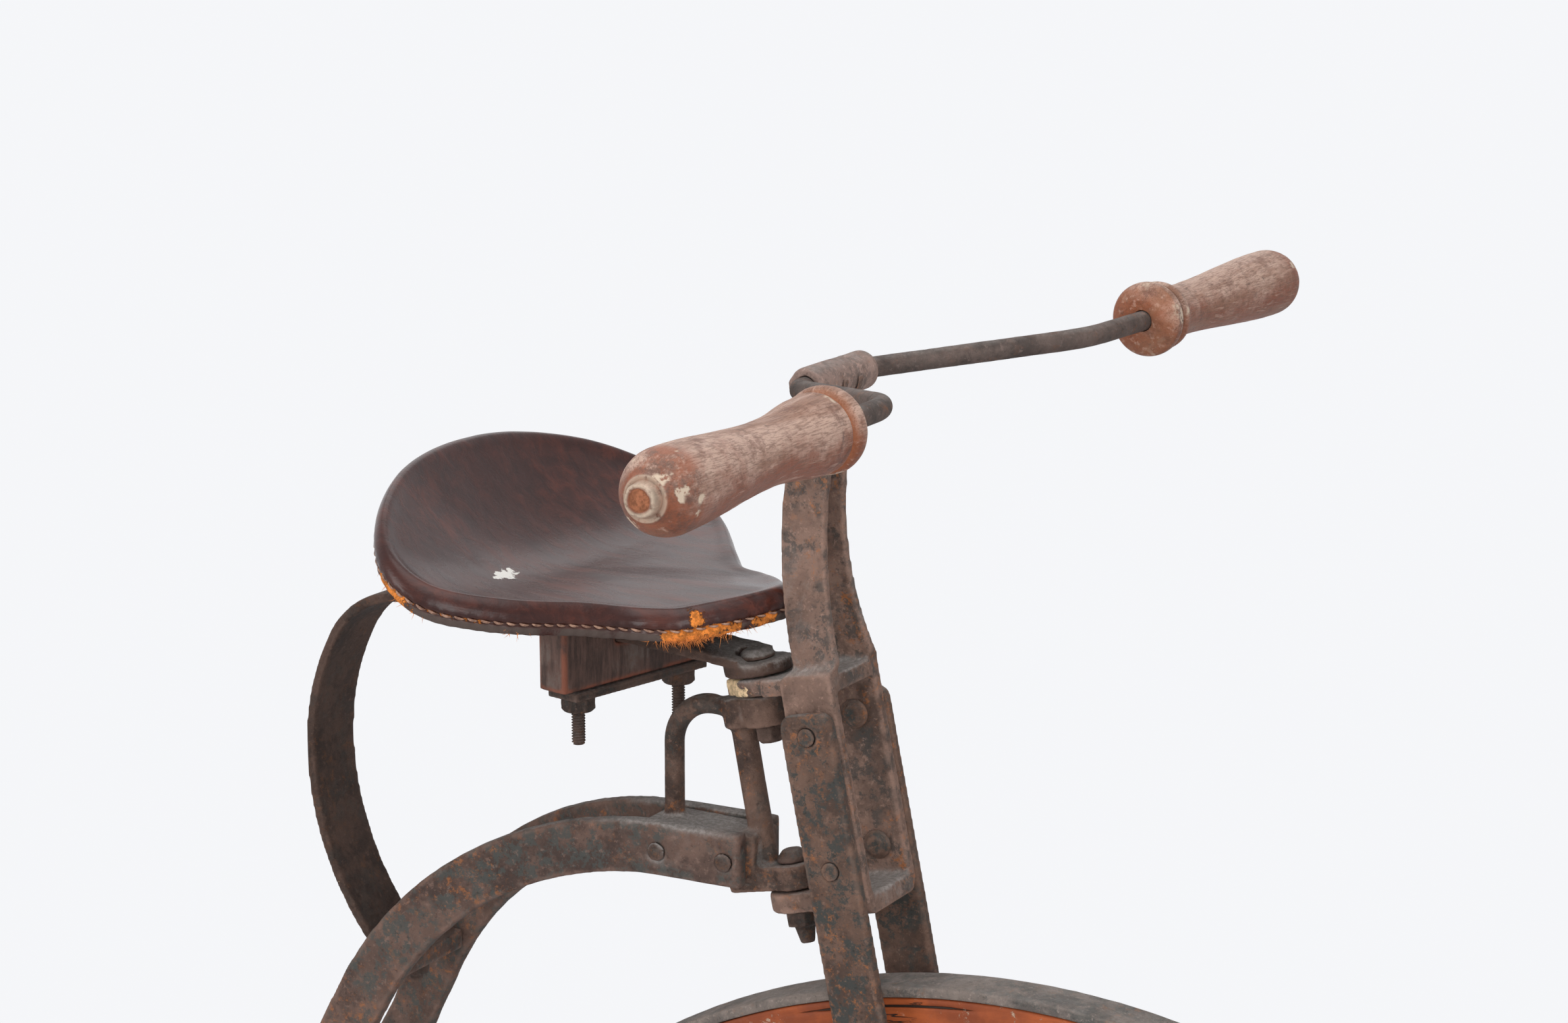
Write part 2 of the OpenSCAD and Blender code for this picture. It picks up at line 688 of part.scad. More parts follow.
module stem_strap() {
    difference() {
        intersection() {
            across(0, 40) stem_side();
            rotate([90, 0, 90]) linear_extrude(height = 120) stem_front();
        }
        translate([bar_reach, 0, bar_h]) bar_y(sleeve_d / 2 + fix, -60, 60);
    }
}

module stem_strap_left() {
    color(iron) steer() translate([0, 0, joint]) stem_strap();
}

module stem_strap_right() {
    color(iron) steer() translate([0, 0, joint]) mirror([0, 1, 0]) stem_strap();
}

module yoke_crossbar() {
    color(iron) steer() difference() {
        union() {
            translate([8, -yoke_in + fix, tongue_z0])
                cube([x1 - 8, yoke_gap - 2 * fix, tongue_z1 - tongue_z0]);
            translate([0, 0, tongue_z0]) cylinder(r = 13, h = tongue_z1 - tongue_z0);
            translate([-14.5, -7, tongue_z0]) cube([14.5, 14, tongue_z1 - tongue_z0]);
            translate([0, -13, tongue_z0]) cube([9, 26, tongue_z1 - tongue_z0]);
        }
        translate([0, 0, tongue_z0 - 1]) cylinder(r = pivot_r + run, h = 30);
    }
}

module blade_solid() {
    end = -axle_drop;
    bend0 = -yoke_drop - 60;
    bend1 = bend0 - (blade_in - yoke_out) * 9 - 40;
    difference() {
        intersection() {
            // Front view: straight beside the yoke, then out to the hub's width
            translate([x0 - 20, 0, 0]) rotate([90, 0, 90]) linear_extrude(height = 90) polygon([
                [yoke_out + fix, 20], [yoke_out + fix, bend0],
                [blade_in, bend1], [blade_in, end - 40],
                [blade_in + blade_t, end - 40], [blade_in + blade_t, bend1],
                [yoke_out + fix + blade_t, bend0], [yoke_out + fix + blade_t, 20]]);
            union() {
                translate([x0, 0, end]) cube([blade_w, 90, 14 - end]);
                translate([x0 + 4, 0, 10]) cube([blade_w - 8, 90, 10]);
                for (x = [x0 + 6, x1 - 6]) translate([x, 0, 14]) bar_y(6, 0, 90, 32);
                translate([fork_offset, 0, end]) bar_y(18, 0, 90);
            }
        }
        translate([fork_offset, 0, end]) bar_y(8 + run, 0, 90);
        for (z = [fork_rivet_1, fork_rivet_2]) translate([fork_offset, 0, z])
            bar_y(3.75 + fix, 0, 90, 24);
    }
    difference() {
        translate([fork_offset, 0, end]) bar_y(15, blade_in + blade_t - 0.5, blade_in + blade_t + 7);
        translate([fork_offset, 0, end]) bar_y(8 + run, 0, 90);
    }
}

module fork_blade_left() {
    color(iron) steer() blade_solid();
}

module fork_blade_right() {
    color(iron) steer() mirror([0, 1, 0]) blade_solid();
}

module fork_rivets() {
    w = yoke_out + fix + blade_t;
    color(dark_iron) steer() for (z = [fork_rivet_1, fork_rivet_2]) for (s = [0, 1])
        mirror([0, s, 0]) translate([fork_offset, 0, z]) {
            bar_y(3.75, yoke_in, w, 24);
            translate([0, w + joint, 0]) rotate([-90, 0, 0])
                cylinder(r1 = 4.4, r2 = 3.8, h = 0.5, $fn = 24);
            translate([0, yoke_in - joint, 0]) rotate([90, 0, 0])
                cylinder(r = 6.6, h = 1.6, $fn = 32);
            translate([0, yoke_in - 1.6, 0]) rotate([90, 0, 0])
                cylinder(r1 = 6.6, r2 = 3.4, h = 2.6, $fn = 32);
        }
}

module handlebar_sleeve() {
    color(iron) steer() translate([bar_reach, 0, bar_h]) difference() {
        bar_y(sleeve_d / 2, -sleeve_l / 2, sleeve_l / 2);
        bar_y(rod_d / 2 + fix, -sleeve_l, sleeve_l);
    }
}

// Places a piece in the tilted plane of the handlebar
module bar_plane() {
    steer() translate([bar_reach, 0, bar_h]) rotate([0, rake - 7.5, 0]) children();
}

bar_y1 = sleeve_l / 2 + 1;
bar_e1 = [bend_r * (1 - cos(sweep)), bar_y1 + bend_r * sin(sweep)];
bar_e2 = bar_e1 + bar_run * [sin(sweep), cos(sweep)];
bar_c2 = bar_e2 + bend_r2 * [-cos(sweep), sin(sweep)];
bar_e3 = bar_c2 + bend_r2 * [cos(grip_toe), -sin(grip_toe)];
bar_e4 = bar_e3 + grip_run * [sin(grip_toe), cos(grip_toe)];
rod_proud = 3.5;

module bar_half() {
    r = rod_d / 2;
    translate([bend_r, bar_y1, 0]) rotate([0, 0, 180 - sweep])
        rotate_extrude(angle = sweep, $fn = 120) translate([bend_r, 0]) circle(r, $fn = 32);
    translate([bar_e1[0], bar_e1[1], 0]) rotate([0, 0, -sweep]) bar_y(r, joint, bar_run - joint, 32);
    translate([bar_c2[0], bar_c2[1], 0]) rotate([0, 0, -sweep])
        rotate_extrude(angle = sweep - grip_toe, $fn = 120) translate([bend_r2, 0]) circle(r, $fn = 32);
    translate([bar_e3[0], bar_e3[1], 0]) rotate([0, 0, -grip_toe])
        bar_y(r, joint, grip_run + grip_l + rod_proud, 32);
}

module handlebar_rod() {
    color(dark_iron) bar_plane() {
        bar_y(rod_d / 2, -bar_y1 + joint, bar_y1 - joint, 32);
        bar_half();
        mirror([0, 1, 0]) bar_half();
    }
}

// Turned grip: ring, groove, ring, waist, swell and rounded end
module grip_profile() {
    r = grip_d / 2;
    l = grip_l;
    polygon(concat(
        [[rod_d / 2 + fix, 0], [r * 0.72, 0]],
        [for (a = [-80 : 20 : 80]) [r * 0.72 + r * 0.36 * cos(a), 6.2 + 6 * sin(a)]],
        [[r * 0.83, 13.2]],
        [for (a = [-60 : 30 : 60]) [r * 0.8 + r * 0.16 * cos(a), 16.8 + 2.8 * sin(a)]],
        [for (i = [0 : 16]) let (t = i / 16)
            [r * (0.86 - 0.12 * sin(180 * pow(t, 0.75)) + 0.14 * pow(sin(90 * t), 3)), 21 + (l - 38) * t]],
        [for (a = [10 : 10 : 70]) [r * (0.36 + 0.64 * cos(a)), l - 17 + 15 * sin(a)]],
        [[r * 0.4, l - 2], [r * 0.38, l], [rod_d / 2 + fix, l]]));
}

module grip() {
    bar_plane() translate([bar_e4[0], bar_e4[1], 0]) rotate([0, 0, -grip_toe])
        rotate([-90, 0, 0]) rotate_extrude($fn = 48) grip_profile();
}

module grip_left() {
    color(wood) grip();
}

module grip_right() {
    color(wood) mirror([0, 1, 0]) grip();
}

// ---------------------------------------------------------------- wheels

module wheel_tyre(r) {
    rotate([90, 0, 0]) rotate_extrude($fn = 96) translate([r - tyre_t, -tyre_w / 2])
        polygon([[0, 0], [tyre_t - 1, 0], [tyre_t, 1], [tyre_t, tyre_w - 1],
            [tyre_t - 1, tyre_w], [0, tyre_w]]);
}

module wheel_rim(r) {
    o = r - tyre_t - fix;
    w = tyre_w / 2 - 0.5;
    rotate([90, 0, 0]) rotate_extrude($fn = 96)
        polygon([[o, -w], [o, w], [o - rim_depth + 7, w], [o - rim_depth, w - 6],
            [o - rim_depth, -w + 6], [o - rim_depth + 7, -w]]);
}

module wheel_spokes(r, hub_r, count) {
    ri = r - tyre_t - fix - rim_depth;
    for (i = [0 : count - 1]) rotate([0, (i + 0.5) * 360 / count, 0]) difference() {
        translate([0, 0, hub_r - 6]) cylinder(d1 = spoke_d, d2 = spoke_d - 4, h = ri - hub_r + 9, $fn = 24);
        bar_y(hub_r + fix, -60, 60, 64);
        rotate([90, 0, 0]) translate([0, 0, -40]) difference() {
            cylinder(r = r, h = 80, $fn = 96);
            translate([0, 0, -1]) cylinder(r = ri - fix, h = 82, $fn = 96);
        }
    }
}

// Turned wooden hub with a flat middle for the spokes; hl is half its length
module wheel_hub(hr, hl, bore) {
    rotate([90, 0, 0]) rotate_extrude($fn = 64) polygon([
        [bore, -hl], [hr - 8, -hl], [hr - 8, -hl + 8], [hr - 5, -hl + 9], [hr, -spoke_d / 2 - 3],
        [hr, spoke_d / 2 + 3], [hr - 5, hl - 9], [hr - 8, hl - 8], [hr - 8, hl], [bore, hl]]);
}

module wheel_bands(hr, hl) {
    for (s = [0, 1]) mirror([0, s, 0]) rotate([-90, 0, 0]) translate([0, 0, hl - 7.9])
        difference() {
            cylinder(r = hr - 5.4, h = 7.9, $fn = 64);
            translate([0, 0, -1]) cylinder(r = hr - 8 + fix, h = 12, $fn = 64);
        }
}

front_hub_r = front_hub_d / 2;
rear_hub_r = rear_hub_d / 2;
front_hub_l = blade_in - 5.2;
rear_hub_l = stay_in - 7.4;

module front_tyre() {
    color(dark_iron) at_front() wheel_tyre(front_r);
}

module front_rim() {
    color(orange_wood) at_front() wheel_rim(front_r);
}

module front_spokes() {
    color(orange_wood) at_front() wheel_spokes(front_r, front_hub_r, front_spoke_count);
}

module front_hub() {
    color(orange_wood) at_front() wheel_hub(front_hub_r, front_hub_l, 8 + fix);
}

module front_hub_bands() {
    color(dark_iron) at_front() wheel_bands(front_hub_r, front_hub_l);
}

crank_y = blade_in + blade_t + 7 + 5.2;
crank_t = 10;

module front_axle() {
    e = crank_y + crank_t;
    color(dark_iron) at_front() {
        bar_y(8, -e - 3, e + 3);
        for (s = [0, 1]) mirror([0, s, 0]) translate([0, e + 0.05, 0]) rotate([-90, 0, 0])
            cylinder(r = 12, h = 6, $fn = 6);
    }
}

module crank() {
    difference() {
        translate([0, crank_y + crank_t, 0]) rotate([90, 0, 0]) linear_extrude(height = crank_t)
            difference() {
                union() {
                    circle(17, $fn = 48);
                    translate([crank_l, 0]) circle(11, $fn = 32);
                    polygon([[0, -13], [crank_l, -10], [crank_l, 10], [0, 13]]);
                }
                circle(8 + fix, $fn = 48);
                translate([crank_l, 0]) circle(5 + fix, $fn = 32);
                translate([crank_l - 44, -4.5]) square([30, 9]);
            }
    }
}

module crank_right() {
    color(iron) at_front() mirror([0, 1, 0]) rotate([0, crank_angle, 0]) crank();
}

module crank_left() {
    color(iron) at_front() rotate([0, crank_angle + 180, 0]) crank();
}

pin_y0 = crank_y;
pedal_y = crank_y + crank_t + 5.2;

module pedal_pin() {
    translate([crank_l, 0, 0]) {
        bar_y(5, pin_y0 - 2, pedal_y + pedal_l + 9, 32);
        bar_y(8, pin_y0 - 4, pin_y0 - 0.05, 32);
        translate([0, crank_y + crank_t + 0.05, 0]) rotate([-90, 0, 0])
            cylinder(r = 8.5, h = 3.4, $fn = 32);
        translate([0, pedal_y + pedal_l + 1.8, 0]) rotate([-90, 0, 0]) cylinder(r = 9, h = 6, $fn = 6);
    }
}

module pedal_spool() {
    r = pedal_d / 2;
    translate([crank_l, pedal_y, 0]) rotate([-90, 0, 0]) rotate_extrude($fn = 48) polygon(concat(
        [[5 + run, 0], [r - 2, 0], [r, 2], [r, 6], [r - 1, 8]],
        [for (i = [0 : 8]) [r - 6 + 3.5 * pow(abs(i - 4) / 4, 2), 9.5 + (pedal_l - 19) * i / 8]],
        [[r - 1, pedal_l - 8], [r, pedal_l - 6], [r, pedal_l - 2], [r - 2, pedal_l], [5 + run, pedal_l]]));
}

module pedal_pin_right() {
    color(dark_iron) at_front() mirror([0, 1, 0]) rotate([0, crank_angle, 0]) pedal_pin();
}

module pedal_pin_left() {
    color(dark_iron) at_front() rotate([0, crank_angle + 180, 0]) pedal_pin();
}

module pedal_right() {
    color(wood) at_front() mirror([0, 1, 0]) rotate([0, crank_angle, 0]) pedal_spool();
}

module pedal_left() {
    color(wood) at_front() rotate([0, crank_angle + 180, 0]) pedal_spool();
}

module rear_tyre() {
    color(dark_iron) at_rear() wheel_tyre(rear_r);
}

module rear_rim() {
    color(orange_wood) at_rear() wheel_rim(rear_r);
}

module rear_spokes() {
    color(orange_wood) at_rear() wheel_spokes(rear_r, rear_hub_r, rear_spoke_count);
}

module rear_hub() {
    color(orange_wood) at_rear() wheel_hub(rear_hub_r, rear_hub_l, 7 + run);
}

module rear_hub_bands() {
    color(dark_iron) at_rear() wheel_bands(rear_hub_r, rear_hub_l);
}

head_forging();
brace_rod();
backbone_bar_right();
backbone_bar_left();
backbone_rivets();
spring_bridge();
saddle_spring();
spring_foot_bolt();
upper_pivot_bolt();
lower_pivot_pin();
saddle_leather();
saddle_pan();
saddle_clamp_block();
saddle_clamp_plate();
saddle_studs();
rear_axle();
yoke_strap();
yoke_crossbar();
stem_strap_right();
stem_strap_left();
fork_blade_right();
fork_blade_left();
fork_rivets();
handlebar_sleeve();
handlebar_rod();
grip_right();
grip_left();
front_tyre();
front_rim();
front_spokes();
front_hub();
front_hub_bands();
front_axle();
crank_right();
crank_left();
pedal_pin_right();
pedal_pin_left();
pedal_right();
pedal_left();
rear_tyre();
rear_rim();
rear_spokes();
rear_hub();
rear_hub_bands();
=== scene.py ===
"""Looks of the rusty front-pedalled bicycle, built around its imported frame.

Metres, in the frame's own axes: +X forward, +Y left, +Z up, origin on the saddle's seat.
"""

import json
import logging
import math
from dataclasses import dataclass, field
from enum import Enum

import bmesh
import bpy
import numpy as np
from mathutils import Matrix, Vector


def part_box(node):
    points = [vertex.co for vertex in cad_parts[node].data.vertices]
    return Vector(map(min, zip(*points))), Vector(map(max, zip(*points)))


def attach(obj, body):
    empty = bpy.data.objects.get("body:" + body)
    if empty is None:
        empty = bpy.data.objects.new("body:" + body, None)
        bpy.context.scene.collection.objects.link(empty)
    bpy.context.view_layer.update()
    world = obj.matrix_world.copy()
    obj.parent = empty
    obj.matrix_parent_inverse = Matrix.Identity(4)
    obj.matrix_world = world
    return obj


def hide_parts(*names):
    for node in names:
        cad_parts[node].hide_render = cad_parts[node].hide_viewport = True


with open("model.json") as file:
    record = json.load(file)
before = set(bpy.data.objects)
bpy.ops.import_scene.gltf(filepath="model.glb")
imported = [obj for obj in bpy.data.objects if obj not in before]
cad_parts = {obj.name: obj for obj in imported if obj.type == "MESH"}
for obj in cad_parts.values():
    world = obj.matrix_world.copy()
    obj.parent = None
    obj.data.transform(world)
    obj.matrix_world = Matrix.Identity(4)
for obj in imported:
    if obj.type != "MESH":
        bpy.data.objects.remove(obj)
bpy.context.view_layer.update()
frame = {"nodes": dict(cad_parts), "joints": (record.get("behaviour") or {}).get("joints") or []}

MM = 0.001
TAU = 2.0 * math.pi
LOG = logging.getLogger("bicycle")
Colour = tuple[float, float, float]
NOWHERE: Colour = (0.0, 0.0, 9.0)


class Slot(Enum):
    """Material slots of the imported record."""

    IRON = "rusty_iron"
    DARK_IRON = "dark_iron"
    TYRE = "tyre_iron"
    WOOD = "worn_wood"
    PAINTED = "painted_wood"
    LEATHER = "leather"


class Side(Enum):
    """The two sides of the bicycle, as the sign of y."""

    RIGHT = -1
    LEFT = 1


# ------------------------------------------------------------------ numbers and surfaces


def unit(vectors: np.ndarray) -> np.ndarray:
    """Vectors divided by their length, along the last axis."""
    return vectors / np.maximum(np.linalg.norm(vectors, axis=-1, keepdims=True), 1e-12)


def lattice_noise(points: np.ndarray, size: float, seed: int = 0) -> np.ndarray:
    """Smooth noise from -1 to 1.

    Each corner of a grid of cubes has its own random value. Inside a cube the eight values
    are blended with the weight 3t^2 - 2t^3 along each axis.

    Args:
        points: any array whose last axis holds x, y, z.
        size: edge of a cube in metres.
        seed: picks another pattern.

    Returns:
        One value per point.
    """
    scaled = points / size + 37.3 * seed
    cell = np.floor(scaled).astype(np.int64)
    part = scaled - cell
    weight = part * part * (3.0 - 2.0 * part)
    total = np.zeros(points.shape[:-1])
    for corner in range(8):
        bits = np.array([corner & 1, (corner >> 1) & 1, corner >> 2])
        i, j, k = np.moveaxis(cell + bits, -1, 0)
        mixed = (i * 374761393 + j * 668265263 + k * 1440662683 + seed * 69069) & 0x7FFFFFFF
        mixed = ((mixed ^ (mixed >> 13)) * 1274126177) & 0x7FFFFFFF
        value = ((mixed ^ (mixed >> 16)) & 0xFFFF) / 32767.5 - 1.0
        total += value * np.prod(np.where(bits == 1, weight, 1.0 - weight), axis=-1)
    return total


def rough_noise(points: np.ndarray, size: float, octaves: int, seed: int = 0) -> np.ndarray:
    """Sum of lattice noises, each of half the size and half the height of the one before.

    Args:
        points: any array whose last axis holds x, y, z.
        size: edge of the largest cube in metres.
        octaves: how many noises are added.
        seed: picks another pattern.

    Returns:
        One value per point, roughly -1 to 1.
    """
    layers = [lattice_noise(points, size / 2**n, seed + n) / 2**n for n in range(octaves)]
    return np.sum(layers, axis=0) / (2.0 - 2.0 ** (1 - octaves))


def smooth_step(low: float, high: float, values: np.ndarray) -> np.ndarray:
    """0 below low, 1 above high and a smooth rise between them."""
    t = np.clip((values - low) / (high - low), 0.0, 1.0)
    return t * t * (3.0 - 2.0 * t)


def bell(values: np.ndarray, width: float | np.ndarray) -> np.ndarray:
    """1 where values are 0, falling off on both sides over that width."""
    return np.exp(-((values / width) ** 2))


def tone(colour: Colour, factor: float) -> Colour:
    """The colour made lighter or darker by a factor."""
    return tuple(factor * c for c in colour)


def vertex_values(mesh: bpy.types.Mesh, name: str) -> np.ndarray:
    """The co or normal of each vertex, as an (n, 3) array."""
    values = np.empty(len(mesh.vertices) * 3)
    mesh.vertices.foreach_get(name, values)
    return values.reshape(-1, 3)


def set_mark(mesh: bpy.types.Mesh, name: str, values: np.ndarray) -> None:
    """Stores one number per vertex, which a finish reads by that name."""
    layer = mesh.attributes.new(name, "FLOAT", "POINT")
    layer.data.foreach_set("value", values.astype(np.float32))


def closed_curve(points: np.ndarray, steps: int) -> np.ndarray:
    """Smooth closed curve through points.

    Between two points the curve is the cubic whose slope at each point is half the step
    from the point before it to the point after it.

    Args:
        points: (n, d) control points.
        steps: samples between one point and the next.

    Returns:
        (n * steps, d) samples.
    """
    t = (np.arange(steps) / steps)[None, :, None]
    a, b, c, d = (np.roll(points, shift, axis=0)[:, None, :] for shift in (1, 0, -1, -2))
    curve = 0.5 * (2 * b + (c - a) * t + (2 * a - 5 * b + 4 * c - d) * t**2
                   + (3 * b - a - 3 * c + d) * t**3)
    return curve.reshape(-1, points.shape[1])


@dataclass
class Skin:
    """Collects grids of points and makes them one mesh object, standing at the origin."""

    name: str
    points: list[np.ndarray] = field(default_factory=list)
    faces: list[list[int]] = field(default_factory=list)
    marks: dict[str, list[np.ndarray]] = field(default_factory=dict)
    count: int = 0

    def add(self, points: np.ndarray, faces: np.ndarray, **marks: np.ndarray) -> None:
        """Adds points, the faces between them and one value per point for each mark."""
        self.points.append(points.reshape(-1, 3))
        self.faces.extend((faces + self.count).tolist())
        for key, values in marks.items():
            self.marks.setdefault(key, []).append(np.asarray(values, float).reshape(-1))
        self.count += points.reshape(-1, 3).shape[0]

    def grid(self, points: np.ndarray, round_u: bool = False, round_v: bool = True,
             **marks: np.ndarray) -> None:
        """Adds a surface of two parameters as four-sided faces.

        Args:
            points: (u, v, 3) grid.
            round_u: the last row joins the first one.
            round_v: the last column joins the first one.
            marks: one (u, v) value per point.
        """
        nu, nv = points.shape[:2]
        u = np.arange(nu if round_u else nu - 1)[:, None]
        v = np.arange(nv if round_v else nv - 1)[None, :]
        u1, v1 = (u + 1) % nu, (v + 1) % nv
        faces = np.stack([u * nv + v, u * nv + v1, u1 * nv + v1, u1 * nv + v], axis=-1)
        self.add(points, faces.reshape(-1, 4), **marks)

    def build(self, finish: "Finish", body: str, slot: Slot, *nodes: str) -> bpy.types.Object:
        """Makes the object, with doubles merged and faces turned outwards.

        Args:
            finish: its finish.
            body: CAD body that it rides on.
            slot: passed on to dress, which does not use it.
            nodes: CAD nodes that it stands for.

        Returns:
            The new object.
        """
        mesh = bpy.data.meshes.new(self.name)
        mesh.from_pydata(np.concatenate(self.points), [], self.faces)
        for key, values in self.marks.items():
            set_mark(mesh, key, np.concatenate(values))
        work = bmesh.new()
        work.from_mesh(mesh)
        bmesh.ops.remove_doubles(work, verts=work.verts, dist=1e-6)
        bmesh.ops.dissolve_degenerate(work, edges=work.edges, dist=1e-7)
        bmesh.ops.recalc_face_normals(work, faces=work.faces)
        work.to_mesh(mesh)
        work.free()
        return dress(mesh, self.name, finish, body, slot, *nodes)


def dress(mesh: bpy.types.Mesh, name: str, finish: "Finish", body: str, slot: Slot,
          *nodes: str) -> bpy.types.Object:
    """Puts a finished mesh in the scene.

    Args:
        mesh: the mesh.
        name: name of its object.
        finish: its finish.
        body: CAD body that it rides on.
        slot: not used.
        nodes: CAD nodes that it stands for.

    Returns:
        The new object.
    """
    mesh.polygons.foreach_set("use_smooth", np.ones(len(mesh.polygons), bool))
    mesh.materials.append(finish.material())
    piece = bpy.data.objects.new(name, mesh)
    bpy.context.scene.collection.objects.link(piece)
    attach(piece, body)
    if nodes:
        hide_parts(*nodes)
    LOG.info("%s: %d faces on %s", name, len(mesh.polygons), body)
    return piece


# ------------------------------------------------------------------ finishes


class Nodes:
    """Short way to write a material's node tree."""

    def __init__(self, name: str) -> None:
        """Starts a material with its surface shader and its object coordinates."""
        self.material = bpy.data.materials.new(name)
        self.material.use_nodes = True
        self.tree = self.material.node_tree
        self.shader = self.tree.nodes["Principled BSDF"]
        self.place = self.add("ShaderNodeTexCoord").outputs["Object"]

    @classmethod
    def of(cls, tree: bpy.types.NodeTree) -> "Nodes":
        """Writes to a tree that is there already, such as a world's."""
        nodes = cls.__new__(cls)
        nodes.tree = tree
        return nodes

    def add(self, kind: str, inputs: dict | None = None, **settings: object) -> bpy.types.Node:
        """Adds a node; inputs holds socket values or the outputs that feed them."""
        node = self.tree.nodes.new(kind)
        for key, value in settings.items():
            setattr(node, key, value)
        for key, value in (inputs or {}).items():
            if isinstance(value, bpy.types.NodeSocket):
                self.tree.links.new(value, node.inputs[key])
            else:
                node.inputs[key].default_value = value
        return node

    def math(self, kind: str, a: object, b: object = 0.0) -> bpy.types.NodeSocket:
        """One sum; a and b are numbers or outputs."""
        return self.add("ShaderNodeMath", {0: a, 1: b}, operation=kind).outputs[0]

    def times(self, a: object, b: object) -> bpy.types.NodeSocket:
        """The product of two numbers or outputs."""
        return self.math("MULTIPLY", a, b)

    def plus(self, a: object, b: object) -> bpy.types.NodeSocket:
        """The sum of two numbers or outputs."""
        return self.math("ADD", a, b)

    def most(self, a: object, b: object) -> bpy.types.NodeSocket:
        """The larger of two numbers or outputs."""
        return self.math("MAXIMUM", a, b)

    def swing(self, noise: bpy.types.NodeSocket, height: float) -> bpy.types.NodeSocket:
        """Noise about its middle value, times a height."""
        return self.times(self.math("SUBTRACT", noise, 0.5), height)

    def noise(self, scale: float, detail: float = 5.0, roughness: float = 0.55,
              place: bpy.types.NodeSocket | None = None, distortion: float = 0.0
              ) -> bpy.types.NodeSocket:
        """Cloudy noise of that many patches a metre."""
        node = self.add("ShaderNodeTexNoise", {
            "Vector": place or self.place, "Scale": scale, "Detail": detail,
            "Roughness": roughness, "Distortion": distortion})
        return node.outputs["Fac"]

    def stretch(self, scale: Colour, turn: Colour = (0, 0, 0), shift: Colour = (0, 0, 0)
                ) -> bpy.types.NodeSocket:
        """Object coordinates shifted, turned and scaled, as the Mapping node does."""
        return self.add("ShaderNodeMapping", {
            "Vector": self.place, "Scale": scale, "Rotation": turn, "Location": shift}
        ).outputs[0]

    def ramp(self, value: bpy.types.NodeSocket, low: float, high: float
             ) -> bpy.types.NodeSocket:
        """0 below low, 1 above high, smooth between."""
        return self.add("ShaderNodeMapRange", {
            "Value": value, "From Min": low, "From Max": high},
            interpolation_type="SMOOTHSTEP").outputs[0]

    def mix(self, amount: object, a: object, b: object) -> bpy.types.NodeSocket:
        """Colour a where amount is 0 and b where it is 1."""
        node = self.add("ShaderNodeMix", data_type="RGBA")
        for key, value in ((0, amount), (6, a), (7, b)):
            if isinstance(value, bpy.types.NodeSocket):
                self.tree.links.new(value, node.inputs[key])
            else:
                node.inputs[key].default_value = (*value, 1.0) if key else value
        return node.outputs[2]

    def cover(self, colour: object, over: object, amount: object, share: object
              ) -> bpy.types.NodeSocket:
        """Lays the colour over on top, as strongly as amount times share."""
        return self.mix(self.times(amount, share), colour, over)

    def seen(self) -> bpy.types.NodeSocket:
        """1 for camera, glossy and transmission rays."""
        path = self.add("ShaderNodeLightPath").outputs
        return self.most(path["Is Camera Ray"], self.most(
            path["Is Glossy Ray"], path["Is Transmission Ray"]))

    def blend(self, amount: bpy.types.NodeSocket, a: bpy.types.Node, b: bpy.types.Node,
              output: str) -> None:
        """Feeds the named output node with shader a where amount is 0 and b where it is 1."""
        mixed = self.add("ShaderNodeMixShader", {0: amount, 1: a.outputs[0], 2: b.outputs[0]})
        self.tree.links.new(mixed.outputs[0], self.tree.nodes[output].inputs["Surface"])

    def mark(self, name: str) -> bpy.types.NodeSocket:
        """A value that the mesh carries at its points."""
        return self.add("ShaderNodeAttribute", attribute_name=name).outputs["Fac"]

    def facing_up(self) -> bpy.types.NodeSocket:
        """The upward part of the surface's direction, -1 to 1."""
        normal = self.add("ShaderNodeNewGeometry").outputs["Normal"]
        return self.add("ShaderNodeSeparateXYZ", {0: normal}).outputs[2]

    def surface(self, colour: object, roughness: object, bumps: list[tuple[object, float]],
                **sockets: float) -> bpy.types.Material:
        """Feeds the shader.

        Args:
            colour: base colour output.
            roughness: roughness output or number.
            bumps: heights and the depth in metres that each stands for.
            sockets: plain numbers for other sockets, spaces written as underscores.

        Returns:
            The finished material.
        """
        for key, value in (("Base Color", colour), ("Roughness", roughness)):
            if isinstance(value, bpy.types.NodeSocket):
                self.tree.links.new(value, self.shader.inputs[key])
            else:
                self.shader.inputs[key].default_value = value
        normal = None
        for height, depth in bumps:
            node = self.add("ShaderNodeBump", {"Height": height, "Distance": depth})
            if normal is not None:
                self.tree.links.new(normal, node.inputs["Normal"])
            normal = node.outputs["Normal"]
        if normal is not None:
            self.tree.links.new(normal, self.shader.inputs["Normal"])
        for key, value in sockets.items():
            self.shader.inputs[key.replace("_", " ")].default_value = value
        return self.material


@dataclass(frozen=True)
class Finish:
    """A surface finish, made once and shared by its pieces."""

    name: str

    def material(self) -> bpy.types.Material:
        """The finish's material, built at its first use."""
        found = bpy.data.materials.get(self.name)
        return found if found else self.build()

    def build(self) -> bpy.types.Material:
        """Builds the node tree."""
        raise NotImplementedError


